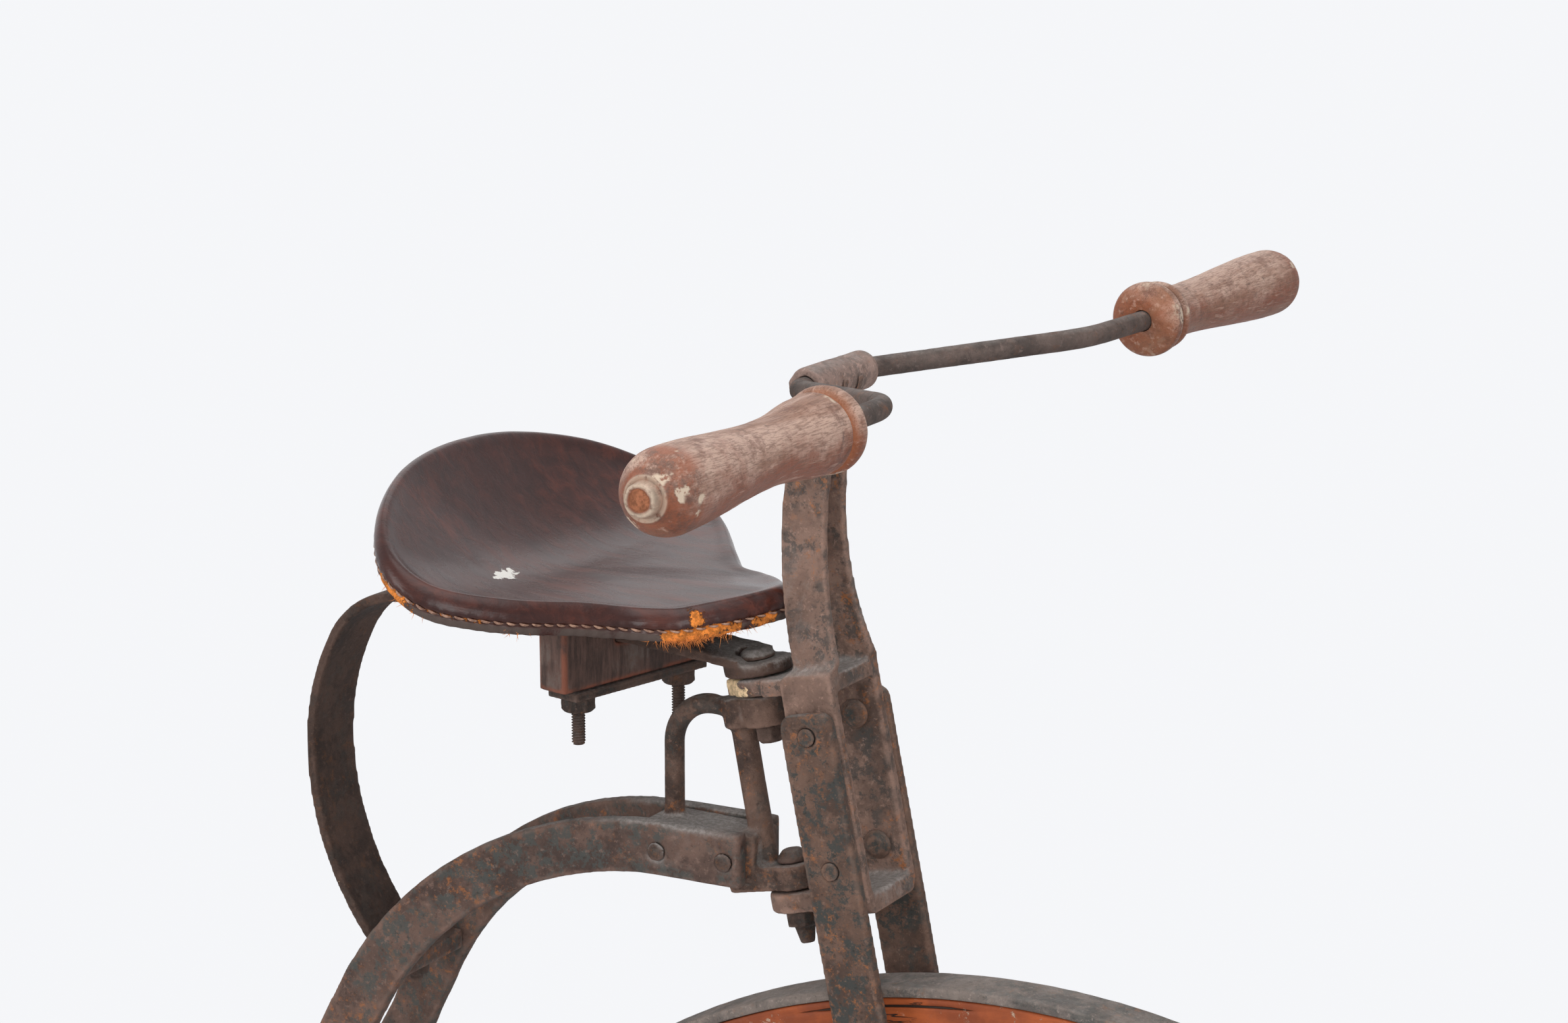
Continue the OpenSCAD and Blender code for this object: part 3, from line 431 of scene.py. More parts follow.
@dataclass(frozen=True)
class RustyIron(Finish):
    """Old forged iron: brown rust in patches, finer orange rust, slate scale and dust."""

    brown: Colour = (0.150, 0.092, 0.070)
    dark: Colour = (0.048, 0.033, 0.028)
    orange: Colour = (0.420, 0.150, 0.050)
    slate: Colour = (0.060, 0.062, 0.058)
    dust: Colour = (0.380, 0.350, 0.330)
    bare: Colour = (0.900, 0.660, 0.400)
    dark_share: float = 0.85
    orange_share: float = 0.65
    slate_share: float = 0.6
    slate_from: float = 0.44
    dust_share: float = 0.5
    seed: float = 0.0

    def build(self) -> bpy.types.Material:
        """Patches of 60, 14 and 3 mm mixed by noise; dust lies on top and in corners."""
        n = Nodes(self.name)
        moved = n.stretch((1, 1, 1), shift=(self.seed, 0.37 * self.seed, 0.0))
        broad = n.noise(19.0, 7.0, 0.66, moved, 0.3)
        middle = n.noise(75.0, 8.0, 0.68, moved)
        fine = n.noise(360.0, 6.0, 0.72, moved)
        colour = n.mix(n.times(n.ramp(broad, 0.56, 0.4), self.dark_share), self.brown, self.dark)
        colour = n.cover(colour, tone(self.brown, 1.45), n.ramp(middle, 0.46, 0.62), 0.6)
        blot = n.times(n.ramp(n.noise(130.0, 9.0, 0.78, moved), 0.495, 0.53),
                       n.ramp(n.noise(30.0, 6.0, 0.6, moved), self.slate_from,
                              self.slate_from + 0.1))
        colour = n.cover(colour, self.slate, blot, self.slate_share)
        speck = n.times(n.ramp(n.noise(210.0, 8.0, 0.8, moved), 0.53, 0.62),
                        n.ramp(n.noise(24.0, 6.0, 0.6, moved), 0.42, 0.58))
        colour = n.cover(colour, self.orange, speck, self.orange_share)
        colour = n.cover(colour, tone(self.dark, 0.5), n.ramp(fine, 0.44, 0.32), 0.5)
        colour = n.cover(colour, tone(self.brown, 1.9), n.ramp(fine, 0.56, 0.66), 0.55)
        edge = n.times(n.ramp(n.mark("edge"), 0.25, 1.0), n.ramp(middle, 0.36, 0.55))
        colour = n.cover(colour, tone(self.brown, 1.9), edge, 0.4)
        cloud = n.ramp(n.noise(70.0, 9.0, 0.75, moved), 0.34, 0.6)
        up = n.facing_up()
        lying = n.times(n.ramp(up, 0.55, 1.0), cloud)
        thick = n.times(n.ramp(n.mark("dusty"), 0.05, 0.55),
                        n.ramp(n.plus(up, n.times(cloud, 0.6)), 0.48, 1.15))
        nook = n.times(n.ramp(n.mark("nook"), 0.2, 0.9), cloud)
        dust = n.most(n.times(n.most(lying, nook), self.dust_share), n.times(thick, 0.85))
        flecked = n.mix(n.ramp(n.noise(520.0, 5.0, 0.7), 0.4, 0.62), tone(self.dust, 0.62),
                        self.dust)
        colour = n.mix(dust, colour, flecked)
        pale = n.ramp(n.plus(n.mark("pale"), n.swing(n.noise(170.0, 7.0, 0.7), 1.6)), 0.36, 0.42)
        colour = n.mix(pale, colour,
                       n.mix(n.ramp(fine, 0.4, 0.6), self.bare, tone(self.bare, 0.55)))
        roughness = n.plus(0.56, n.times(middle, 0.36))
        return n.surface(colour, roughness,
                         [(middle, 2.0 * MM), (n.noise(190.0, 8.0, 0.72, moved), 1.3 * MM),
                          (fine, 0.7 * MM)], Metallic=0.0, Specular_IOR_Level=0.16)


@dataclass(frozen=True)
class WornWood(Finish):
    """Turned wood: red-brown below, pale on top as painted top light, dark where hands held it."""

    axis_turn: float = 0.0
    # pale wood colour of the grain streaks, also used as the painted top light on upward faces
    pale_wood_and_top_light: Colour = (0.580, 0.390, 0.310)
    brown: Colour = (0.270, 0.130, 0.080)
    red: Colour = (0.255, 0.080, 0.040)
    bare: Colour = (0.430, 0.140, 0.055)
    dark: Colour = (0.060, 0.030, 0.022)
    chip: Colour = (0.700, 0.560, 0.430)

    def build(self) -> bpy.types.Material:
        """Streaks run along the turning axis; marks on the mesh give grooves and chips."""
        n = Nodes(self.name)
        along = n.stretch((120.0, 9.0, 120.0), (0, 0, self.axis_turn))
        grain = n.noise(3.0, 8.0, 0.7, along)
        fine = n.noise(14.0, 6.0, 0.7, along)
        band = n.noise(0.55, 7.0, 0.66, along)
        cloud = n.noise(24.0, 8.0, 0.68)
        mottle = n.noise(85.0, 8.0, 0.72)
        # pale on the upward-facing side, broken by noise: painted top light
        up = n.ramp(n.plus(n.facing_up(), n.swing(cloud, 4.6)), -0.35, 0.75)
        colour = n.mix(up, self.red, self.pale_wood_and_top_light)
        colour = n.cover(colour, self.brown, n.ramp(band, 0.44, 0.6), 0.85)
        colour = n.cover(colour, tone(self.red, 0.5), n.ramp(mottle, 0.52, 0.66), 0.6)
        colour = n.cover(colour, tone(self.brown, 0.55), n.ramp(fine, 0.52, 0.42), 0.55)
        colour = n.cover(colour, tone(self.pale_wood_and_top_light, 1.15), n.ramp(grain, 0.55, 0.66), 0.5)
        stain = n.times(n.ramp(n.noise(40.0, 8.0, 0.72), 0.565, 0.64),
                        n.ramp(n.noise(150.0, 7.0, 0.7), 0.35, 0.6))
        colour = n.cover(colour, self.dark, stain, 0.75)
        groove = n.times(n.ramp(n.mark("groove"), 0.15, 0.9), n.ramp(mottle, 0.66, 0.45))
        colour = n.cover(colour, self.bare, groove, 0.9)
        rub = n.times(n.mark("rub"), n.ramp(n.noise(60.0, 8.0, 0.72), 0.4, 0.52))
        colour = n.cover(colour,
                         n.mix(n.ramp(n.noise(130.0, 8.0, 0.75), 0.42, 0.6), tone(self.red, 1.2),
                               tone(self.dark, 2.2)), rub, 0.9)
        colour = n.cover(colour, self.dark, n.mark("line"), 0.75)
        chip = n.times(n.mark("chip"), n.ramp(n.noise(260.0, 6.0, 0.6), 0.42, 0.52))
        rim = n.times(n.mark("rim"), n.ramp(n.noise(330.0, 6.0, 0.7), 0.3, 0.5))
        colour = n.mix(n.most(chip, n.times(rim, 0.8)), colour, self.chip)
        colour = n.cover(colour, self.red, n.mark("plug"), 0.9)
        roughness = n.plus(0.32, n.times(grain, 0.4))
        return n.surface(colour, roughness,
                         [(grain, 0.8 * MM), (fine, 0.5 * MM), (mottle, 0.6 * MM)],
                         Specular_IOR_Level=0.28)


@dataclass(frozen=True)
class PaintedWood(Finish):
    """Orange-brown painted wood with dark cracks along the grain and pale scrapes.

    The grain runs round the wheel: the angle round the hub, times the radius, is the
    pattern's long direction.
    """

    centre: Colour = (0.0, 0.0, 0.0)
    radius: float = 0.3
    paint: Colour = (0.390, 0.092, 0.026)
    deep: Colour = (0.200, 0.045, 0.015)
    scrape: Colour = (0.520, 0.370, 0.270)
    crack: Colour = (0.030, 0.018, 0.013)

    def build(self) -> bpy.types.Material:
        """Cracks are thin bands of stretched noise; scrapes are patches of fine noise."""
        n = Nodes(self.name)
        moved = n.stretch((1, 1, 1), shift=tuple((-c for c in self.centre)))
        parts = n.add("ShaderNodeSeparateXYZ", {0: moved})
        angle = n.math("ARCTAN2", parts.outputs[0], parts.outputs[2])
        reach = n.math("SQRT",
                       n.plus(n.math("POWER", parts.outputs[0], 2.0),
                              n.math("POWER", parts.outputs[2], 2.0)))
        rolled = n.add("ShaderNodeCombineXYZ",
                       {0: n.times(angle, self.radius * 14.0),
                        1: n.times(parts.outputs[1], 130.0), 2: n.times(reach, 130.0)}).outputs[0]
        grain = n.noise(1.0, 8.0, 0.7, rolled)
        cloud = n.noise(30.0, 6.0, 0.6)
        colour = n.mix(n.ramp(cloud, 0.36, 0.6), self.deep, self.paint)
        colour = n.cover(colour, self.deep, n.ramp(grain, 0.55, 0.36), 0.5)
        scrape = n.times(n.ramp(n.noise(75.0, 9.0, 0.75), 0.56, 0.62),
                         n.ramp(n.noise(16.0, 4.0), 0.44, 0.56))
        colour = n.mix(scrape, colour, self.scrape)
        chip = n.times(n.mark("chip"), n.ramp(n.noise(55.0, 8.0, 0.7), 0.6, 0.65))
        colour = n.mix(chip, colour, tone(self.scrape, 1.3))
        ridge = n.math("ABSOLUTE", n.math("SUBTRACT", n.noise(0.55, 5.0, 0.6, rolled), 0.5))
        crack = n.times(n.ramp(ridge, 0.014, 0.004), n.ramp(cloud, 0.5, 0.6))
        crack = n.most(crack, n.ramp(n.mark("crack"), 0.25, 0.6))
        colour = n.mix(crack, colour, self.crack)
        roughness = n.plus(0.45, n.times(cloud, 0.3))
        return n.surface(colour, roughness,
                         [(grain, 0.5 * MM), (n.math("SUBTRACT", 1.0, crack), 0.8 * MM),
                          (scrape, 0.15 * MM)], Specular_IOR_Level=0.25)


@dataclass(frozen=True)
class SaddleHide(Finish):
    """Glossy, very dark red-brown leather with streaks, a worn orange rim and a chip."""

    dark: Colour = (0.036, 0.0110, 0.0088)
    red: Colour = (0.130, 0.032, 0.018)
    worn: Colour = (0.980, 0.310, 0.055)
    rim: Colour = (0.070, 0.030, 0.024)
    hem: Colour = (0.080, 0.057, 0.049)
    white: Colour = (0.780, 0.760, 0.720)

    def build(self) -> bpy.types.Material:
        """Streaks run across the bowl; the marks worn, hem, seam and chip sit on the mesh."""
        n = Nodes(self.name)
        swept = n.stretch((10.0, 34.0, 34.0), (0.2, 0.5, 0.35))
        streak = n.noise(3.2, 8.0, 0.68, swept, 0.5)
        broad = n.noise(15.0, 5.0, 0.6)
        grain = n.noise(650.0, 5.0, 0.6)
        colour = n.mix(n.times(n.ramp(streak, 0.36, 0.78), n.ramp(broad, 0.25, 0.75)), self.dark,
                       self.red)
        colour = n.cover(colour, tone(self.dark, 0.35),
                         n.ramp(n.noise(1.0, 7.0, 0.7,
                                        n.stretch((30.0, 150.0, 150.0), (0.2, 0.5, 0.35))), 0.54,
                                        0.4), 0.35)
        dull = n.times(n.mark("hem"), n.ramp(n.noise(60.0, 7.0, 0.7), 0.3, 0.5))
        colour = n.mix(dull, colour, self.hem)
        colour = n.cover(colour, self.rim, n.mark("seam"), 0.7)
        bitten = n.ramp(n.plus(n.times(n.mark("worn"), 0.84),
                               n.swing(n.noise(170.0, 9.0, 0.8), 2.6)), 0.46, 0.6)
        colour = n.mix(bitten, colour,
                       n.mix(n.ramp(n.noise(260.0, 8.0, 0.75), 0.4, 0.6), self.worn,
                             tone(self.worn, 0.4)))
        ragged = n.swing(n.noise(1.0, 7.0, 0.72,
                                 n.stretch((210.0, 120.0, 160.0), (0.0, 0.0, 0.5))), 3.2)
        chip = n.times(n.ramp(n.plus(n.mark("chip"), ragged), 0.4, 0.44),
                       n.ramp(n.mark("chip"), 0.0, 0.04))
        colour = n.mix(chip, colour, self.white)
        gloss = n.plus(0.16, n.times(streak, 0.22))
        matt = n.most(n.most(bitten, chip), n.times(dull, 0.8))
        roughness = n.most(gloss, n.times(matt, 0.85))
        return n.surface(colour, roughness,
                         [(streak, 0.25 * MM), (grain, 0.05 * MM),
                          (n.times(bitten, n.noise(420.0, 6.0, 0.8)), 0.8 * MM)],
                          Specular_IOR_Level=0.27)


@dataclass(frozen=True)
class StainedWood(Finish):
    """Old dark wood with upright grain, redder along its edges and greyed in places."""

    dark: Colour = (0.048, 0.031, 0.026)
    brown: Colour = (0.120, 0.071, 0.058)
    red: Colour = (0.240, 0.078, 0.045)
    grey: Colour = (0.150, 0.124, 0.108)

    def build(self) -> bpy.types.Material:
        """Grain is noise drawn out along the height; the edge mark brings out the red."""
        n = Nodes(self.name)
        grain = n.noise(1.0, 8.0, 0.72, n.stretch((330.0, 330.0, 38.0)))
        cloud = n.noise(55.0, 7.0, 0.66)
        colour = n.mix(n.ramp(n.plus(n.times(grain, 0.6), n.times(cloud, 0.4)), 0.38, 0.6),
                       self.dark, self.brown)
        grey = n.times(n.ramp(n.noise(26.0, 6.0, 0.7), 0.5, 0.6), n.ramp(grain, 0.4, 0.6))
        colour = n.cover(colour, self.grey, grey, 0.6)
        edge = n.times(n.ramp(n.mark("edge"), 0.1, 0.75), n.ramp(cloud, 0.34, 0.56))
        colour = n.cover(colour, self.red, edge, 0.75)
        return n.surface(colour, n.plus(0.55, n.times(cloud, 0.3)),
                         [(grain, 0.7 * MM), (cloud, 0.8 * MM)], Specular_IOR_Level=0.2)


@dataclass(frozen=True)
class PlainFinish(Finish):
    """One colour broken by noise, for thread and torn fibres."""

    colour: Colour = (0.3, 0.15, 0.08)
    other: Colour = (0.15, 0.07, 0.04)
    scale: float = 300.0
    roughness: float = 0.8

    def build(self) -> bpy.types.Material:
        """Two colours mixed by noise of that scale."""
        n = Nodes(self.name)
        cloud = n.noise(self.scale, 6.0, 0.7)
        colour = n.mix(n.ramp(cloud, 0.36, 0.62), self.colour, self.other)
        return n.surface(colour, self.roughness, [(cloud, 0.2 * MM)])


# ------------------------------------------------------------------ worn copies of CAD nodes


DUSTY_PLACES = (((0.050, 0.0, -0.104), 0.052), ((0.118, 0.0, -0.032), 0.034),
                ((0.1415, 0.0, -0.128), 0.030), ((0.084, 0.0, -0.036), 0.026),
                ((0.112, 0.012, 0.004), 0.045), ((0.076, 0.0, -0.016), 0.022))


@dataclass(frozen=True)
class WornPart:
    """An even, softened and pitted copy of CAD nodes, which it stands for.

    Nodes that were forged or welded together are made one skin.
    """

    nodes: tuple[str, ...]
    body: str
    finish: Finish
    slot: Slot
    cell: float = 1.3
    wave: float = 0.25
    pit: float = 0.10
    soften: int = 4
    pale_end: Colour = NOWHERE

    def even_mesh(self) -> bpy.types.Mesh:
        """Copy of the nodes with doubles merged and all faces made even squares."""
        mesh = bpy.data.meshes.new(self.nodes[0])
        work = bmesh.new()
        for node in self.nodes:
            work.from_mesh(frame["nodes"][node].data)
        bmesh.ops.remove_doubles(work, verts=work.verts, dist=2e-6)
        work.to_mesh(mesh)
        work.free()
        copy = bpy.data.objects.new(self.nodes[0] + "_copy", mesh)
        bpy.context.scene.collection.objects.link(copy)
        remesh = copy.modifiers.new("even", "REMESH")
        remesh.mode = "VOXEL"
        remesh.voxel_size = self.cell * MM
        graph = bpy.context.evaluated_depsgraph_get()
        even = bpy.data.meshes.new_from_object(copy.evaluated_get(graph))
        bpy.data.objects.remove(copy)
        bpy.data.meshes.remove(mesh)
        return even

    def build(self) -> bpy.types.Object:
        """Rounds the edges, then presses waves and pits into the surface.

        Rounding moves every point to the middle of its neighbours, a few times. The depth
        pressed in along the normal is the height of broad noise above its floor plus the
        part of fine noise that is above a third. Marks: edge is how far more rounding
        would draw a point in, and nook how far it would push a point out.
        """
        mesh = self.even_mesh()
        count = len(mesh.vertices)
        points = vertex_values(mesh, "co")
        ends = np.empty(len(mesh.edges) * 2, np.int32)
        mesh.edges.foreach_get("vertices", ends)
        ends = ends.reshape(-1, 2)
        degree = np.maximum(np.bincount(ends.reshape(-1), minlength=count), 1)

        def relax(values: np.ndarray, times: int) -> np.ndarray:
            """Each point half way to the middle of its neighbours, that many times."""
            for _ in range(times):
                total = np.stack([
                    np.bincount(ends[:, 0], values[ends[:, 1], axis], count)
                    + np.bincount(ends[:, 1], values[ends[:, 0], axis], count)
                    for axis in range(3)], axis=1)
                values = 0.5 * values + 0.5 * total / degree[:, None]
            return values

        soft = relax(points, self.soften)
        mesh.vertices.foreach_set("co", soft.reshape(-1))
        mesh.update()
        normal = vertex_values(mesh, "normal")
        bend = np.sum((soft - relax(soft, 14)) * normal, axis=1) / (0.45 * self.cell * MM)
        broad = 0.5 + 0.5 * rough_noise(soft, 0.018, 3, 3)
        fine = np.clip(rough_noise(soft, 0.0035, 3, 11) - 0.33, 0.0, 1.0)
        depth = (self.wave * broad + 3.0 * self.pit * fine) * MM
        moved = soft - normal * depth[:, None]
        mesh.vertices.foreach_set("co", moved.reshape(-1))
        near = [1.0 - np.linalg.norm(moved - np.array(place), axis=1) / size
                for place, size in DUSTY_PLACES]
        pale = 1.0 - np.linalg.norm(moved - np.array(self.pale_end), axis=1) / (13.0 * MM)
        for name, values in (("edge", bend), ("nook", -bend), ("dusty", np.max(near, axis=0)),
                             ("pale", pale)):
            set_mark(mesh, name, np.clip(values, 0.0, 1.0))
        mesh.update()
        return dress(mesh, self.nodes[0] + "_worn", self.finish, self.body, self.slot,
                     *self.nodes)


IRON = RustyIron("rusty_iron_finish")
STRAP_IRON = RustyIron("strap_iron_finish", brown=(0.215, 0.136, 0.106), dark=(0.080, 0.054, 0.044),
                       slate=(0.066, 0.064, 0.060), slate_share=0.75, dark_share=0.8,
                       orange_share=0.75, seed=0.31)
BLOCK_WOOD = StainedWood("clamp_block_wood")
SLEEVE_IRON = RustyIron("sleeve_iron_finish", brown=(0.340, 0.235, 0.200),
                        dark=(0.170, 0.122, 0.104), slate_share=0.4, dark_share=0.6, seed=0.4)
BLADE_IRON = RustyIron("blade_iron_finish", brown=(0.136, 0.083, 0.062), dark=(0.044, 0.032, 0.028),
                       slate=(0.054, 0.059, 0.056), slate_share=0.9, slate_from=0.36,
                       dark_share=0.6, seed=0.53)
BAR_IRON = RustyIron("bar_iron_finish", brown=(0.140, 0.088, 0.070), dark=(0.060, 0.041, 0.036),
                     slate=(0.078, 0.084, 0.078), slate_share=0.85, slate_from=0.38,
                     orange_share=0.6, seed=0.77)
DARK_IRON = RustyIron("dark_iron_finish", brown=(0.095, 0.062, 0.050), dark=(0.035, 0.027, 0.024),
                      orange=(0.24, 0.10, 0.04), orange_share=0.4, dust_share=0.4)
SPRING_IRON = RustyIron("spring_iron_finish", brown=(0.076, 0.047, 0.037),
                        dark=(0.036, 0.024, 0.020), orange=(0.22, 0.09, 0.035),
                        orange_share=0.35, slate_share=0.25, dust_share=0.25)
ROD_IRON = RustyIron("rod_iron_finish", brown=(0.125, 0.092, 0.080), dark=(0.070, 0.056, 0.051),
                     bare=(0.42, 0.16, 0.08),
                     orange_share=0.30, slate_share=0.3, dust_share=0.35, seed=0.19)
TYRE_IRON = RustyIron("tyre_iron_finish", brown=(0.225, 0.185, 0.162), dark=(0.120, 0.105, 0.097),
                      slate=(0.098, 0.100, 0.094), orange=(0.34, 0.16, 0.08), orange_share=0.5,
                      slate_share=0.7, dust_share=0.35)


@dataclass
class IronWork:
    """Every forged, bolted or rolled iron piece that keeps its CAD shape.

    light_wear and deep_wear hold the wave's and the pits' depth in millimetres and how
    often the edges are softened.
    """

    small: tuple[str, ...] = ("backbone_rivets", "spring_foot_bolt", "upper_pivot_bolt",
                              "lower_pivot_pin", "saddle_clamp_plate")
    wheel_iron: tuple[str, ...] = ("front_axle", "pedal_pin_right", "pedal_pin_left",
                                   "front_hub_bands")
    tongue_end: Colour = (0.0825, -0.0060, -0.0425)
    light_wear: tuple[float, float, int] = (0.08, 0.04, 2)
    deep_wear: tuple[float, float, int] = (0.25, 0.10, 6)

    def rod_end(self) -> Colour:
        """Middle of the handlebar rod's end in the right grip."""
        points = vertex_values(frame["nodes"]["handlebar_rod"].data, "co")
        lowest = points[points[:, 1] < points[:, 1].min() + 1.0 * MM]
        return tuple(float(c) for c in lowest.mean(axis=0))

    def build(self) -> None:
        """Makes a worn copy of each piece, or group of welded pieces, on its body."""
        dark, rusty = Slot.DARK_IRON, Slot.IRON
        forging = ("head_forging", "brace_rod")
        yoke = ("yoke_crossbar", "yoke_strap", "stem_strap_right", "stem_strap_left")
        plans = [(forging, "frame", IRON, rusty, 0.9),
                 (("spring_bridge",), "frame", BAR_IRON, rusty, 1.0),
                 (("backbone_bar_right",), "frame", BAR_IRON, rusty, 1.15),
                 (("backbone_bar_left",), "frame", BAR_IRON, rusty, 1.15),
                 (("saddle_clamp_block",), "frame", BLOCK_WOOD, Slot.WOOD, 0.9),
                 (("saddle_spring",), "frame", SPRING_IRON, rusty, 1.1),
                 (("saddle_pan",), "frame", DARK_IRON, dark, 1.0),
                 (("rear_axle",), "frame", DARK_IRON, dark, 1.2),
                 (yoke, "steering", STRAP_IRON, rusty, 0.9),
                 (("fork_blade_right",), "steering", BLADE_IRON, rusty, 0.95),
                 (("fork_blade_left",), "steering", BLADE_IRON, rusty, 0.95),
                 (("handlebar_rod",), "steering", ROD_IRON, rusty, 0.8),
                 (("fork_rivets",), "steering", BLADE_IRON, dark, 0.7),
                 (("crank_right",), "front_wheel", IRON, rusty, 1.3),
                 (("crank_left",), "front_wheel", IRON, rusty, 1.3),
                 (("rear_hub_bands",), "rear_wheel", DARK_IRON, dark, 1.2)]
        plans += [((node,), "frame", DARK_IRON, dark, 0.7) for node in self.small]
        plans += [((node,), "front_wheel", DARK_IRON, dark, 1.2) for node in self.wheel_iron]
        pale = {yoke: self.tongue_end, ("handlebar_rod",): self.rod_end()}
        for nodes, body, finish, slot, cell in plans:
            fine = finish is DARK_IRON or nodes == ("fork_rivets",)
            WornPart(nodes, body, finish, slot, cell,
                     *(self.light_wear if fine else self.deep_wear),
                     pale.get(nodes, NOWHERE)).build()


# ------------------------------------------------------------------ saddle


@dataclass
class Saddle:
    """Leather saddle: a bowl with a rolled, stitched and partly torn rim.

    rim_line gives the middle of the rolled rim from the nose round the left side to the
    back, as parts of the length behind the nose, of the half width and of the rise.
    """

    length: float = 176 * MM
    width: float = 235 * MM
    rise: float = 50 * MM
    thick: float = 9 * MM
    roll: float = 5.5 * MM
    nose: float = 98 * MM
    seam_turn: float = -21.0
    stitch: float = 5.6 * MM
    crest: float = 2.1 * MM
    steps: int = 24
    bowl_rows: int = 50
    roll_rows: int = 33
    hem_rows: int = 23
    rim_line: tuple[Colour, ...] = (
        (0.000, 0.000, -0.094), (0.048, 0.130, -0.130), (0.108, 0.240, -0.165),
        (0.182, 0.338, -0.200), (0.279, 0.407, -0.190), (0.370, 0.566, -0.110),
        (0.491, 0.810, -0.016), (0.636, 0.982, 0.126), (0.772, 0.962, 0.372),
        (0.885, 0.742, 0.640), (0.971, 0.403, 0.826), (1.000, 0.000, 0.890))
    chip_at: tuple[float, float] = (-13.3 * MM, -44.0 * MM)
    chip_size: tuple[float, float] = (16.0 * MM, 4.8 * MM)
    hide: Finish = SaddleHide("saddle_hide")
    thread: Finish = PlainFinish("saddle_thread", (0.42, 0.25, 0.175), (0.16, 0.08, 0.055),
                                 420.0)
    fibre: Finish = PlainFinish("torn_hide_fibre", (0.85, 0.30, 0.07), (0.42, 0.13, 0.03), 500.0)

    def rim(self) -> np.ndarray:
        """Closed rim line: the listed points, their mirror images, and a smooth curve."""
        part = np.array(self.rim_line)
        left = np.stack([self.nose - part[:, 0] * (self.length - 2 * self.roll),
                         part[:, 1] * (self.width / 2 - self.roll),
                         part[:, 2] * self.rise], axis=1)
        right = left[-2:0:-1] * np.array([1.0, -1.0, 1.0])
        return closed_curve(np.concatenate([left, right]), self.steps)

    def around(self, rim: np.ndarray) -> np.ndarray:
        """Distance along the rim at each of its points."""
        step = np.linalg.norm(np.roll(rim, -1, axis=0) - rim, axis=1)
        return np.concatenate([[0.0], np.cumsum(step)[:-1]])

    def wear(self, turn: np.ndarray, spots: tuple[tuple[float, float, float], ...]
             ) -> np.ndarray:
        """Sum of smooth bumps round the rim.

        Args:
            turn: place round the rim, 0 to 1.
            spots: middle, half width and height of each bump.

        Returns:
            The height at each place.
        """
        total = np.zeros_like(turn)
        for middle, half, height in spots:
            off = np.abs((turn - middle + 0.5) % 1.0 - 0.5) / half
            total = np.maximum(total, height * (1.0 - smooth_step(0.6, 1.0, off)))
        return total

    def edge_line(self) -> np.ndarray:
        """Outward step and height of the hem, from the seam down, under and inwards."""
        corners = np.array([
            (5.13, -7.47), (5.02, -8.3), (4.95, -9.3), (4.8, -10.4), (4.5, -11.4), (4.0, -12.1),
            (3.3, -12.3), (2.6, -11.9), (2.0, -11.0), (1.2, -10.2), (0.2, -9.8)]) * MM
        walk = np.concatenate([[0], np.cumsum(np.linalg.norm(np.diff(corners, axis=0), axis=1))])
        at = np.linspace(0, walk[-1], self.hem_rows + 1)[1:]
        return np.stack([np.interp(at, walk, corners[:, axis]) for axis in (0, 1)], axis=1)

    def shell(self) -> bpy.types.Object:
        """The leather: a surface of the place round the rim and the way from the middle out.

        Bowl: height is the rim's height times the square of the way out, plus a small lift
        that meets the roll without a crease. Roll: a circle from the bowl's slope down to
        the seam. Hem: down from the seam, under and back to the flat underside.
        """
        rim = self.rim()
        turn = np.arange(len(rim)) / len(rim)
        walk = self.around(rim)
        reach = np.linalg.norm(rim[:, :2], axis=1)
        out = rim[:, :2] / reach[:, None]
        top = rim[:, 2] + self.roll
        slope = np.arctan2(2.0 * top, reach)
        inner = 1.0 - self.roll * np.sin(slope) / reach
        lift = (top - self.roll * (1.0 - np.cos(slope))) - top * inner**2
        share = 1.0 - (1.0 - np.linspace(0.0, 1.0, self.bowl_rows)) ** 1.35
        q = share[None, :] * inner[:, None]
        bowl_z = top[:, None] * q**2 + lift[:, None] * share[None, :] ** 4
        bowl = np.stack([q * rim[:, 0, None], q * rim[:, 1, None], bowl_z], axis=-1)
        first = 90.0 + np.degrees(slope)
        angle = np.radians(first[:, None] + (self.seam_turn - first)[:, None]
                           * np.linspace(0.0, 1.0, self.roll_rows + 1)[None, 1:])
        step = self.roll * np.cos(angle)
        drop = self.roll * (np.sin(angle) - 1.0)
        hem = np.broadcast_to(self.edge_line(), (len(rim), self.hem_rows, 2))
        step = np.concatenate([step, hem[..., 0]], axis=1)
        drop = np.concatenate([drop, hem[..., 1]], axis=1)
        rolled = np.stack([rim[:, 0, None] + step * out[:, 0, None],
                           rim[:, 1, None] + step * out[:, 1, None], top[:, None] + drop], axis=-1)
        back = np.linspace(0.97, 0.0, 14)[None, :]
        under = np.stack([back * rim[:, 0, None], back * rim[:, 1, None],
                          top[:, None] * back**2 - self.thick], axis=-1)
        points = np.concatenate([bowl, rolled, under], axis=1)
        return self.shape(points, turn, walk)

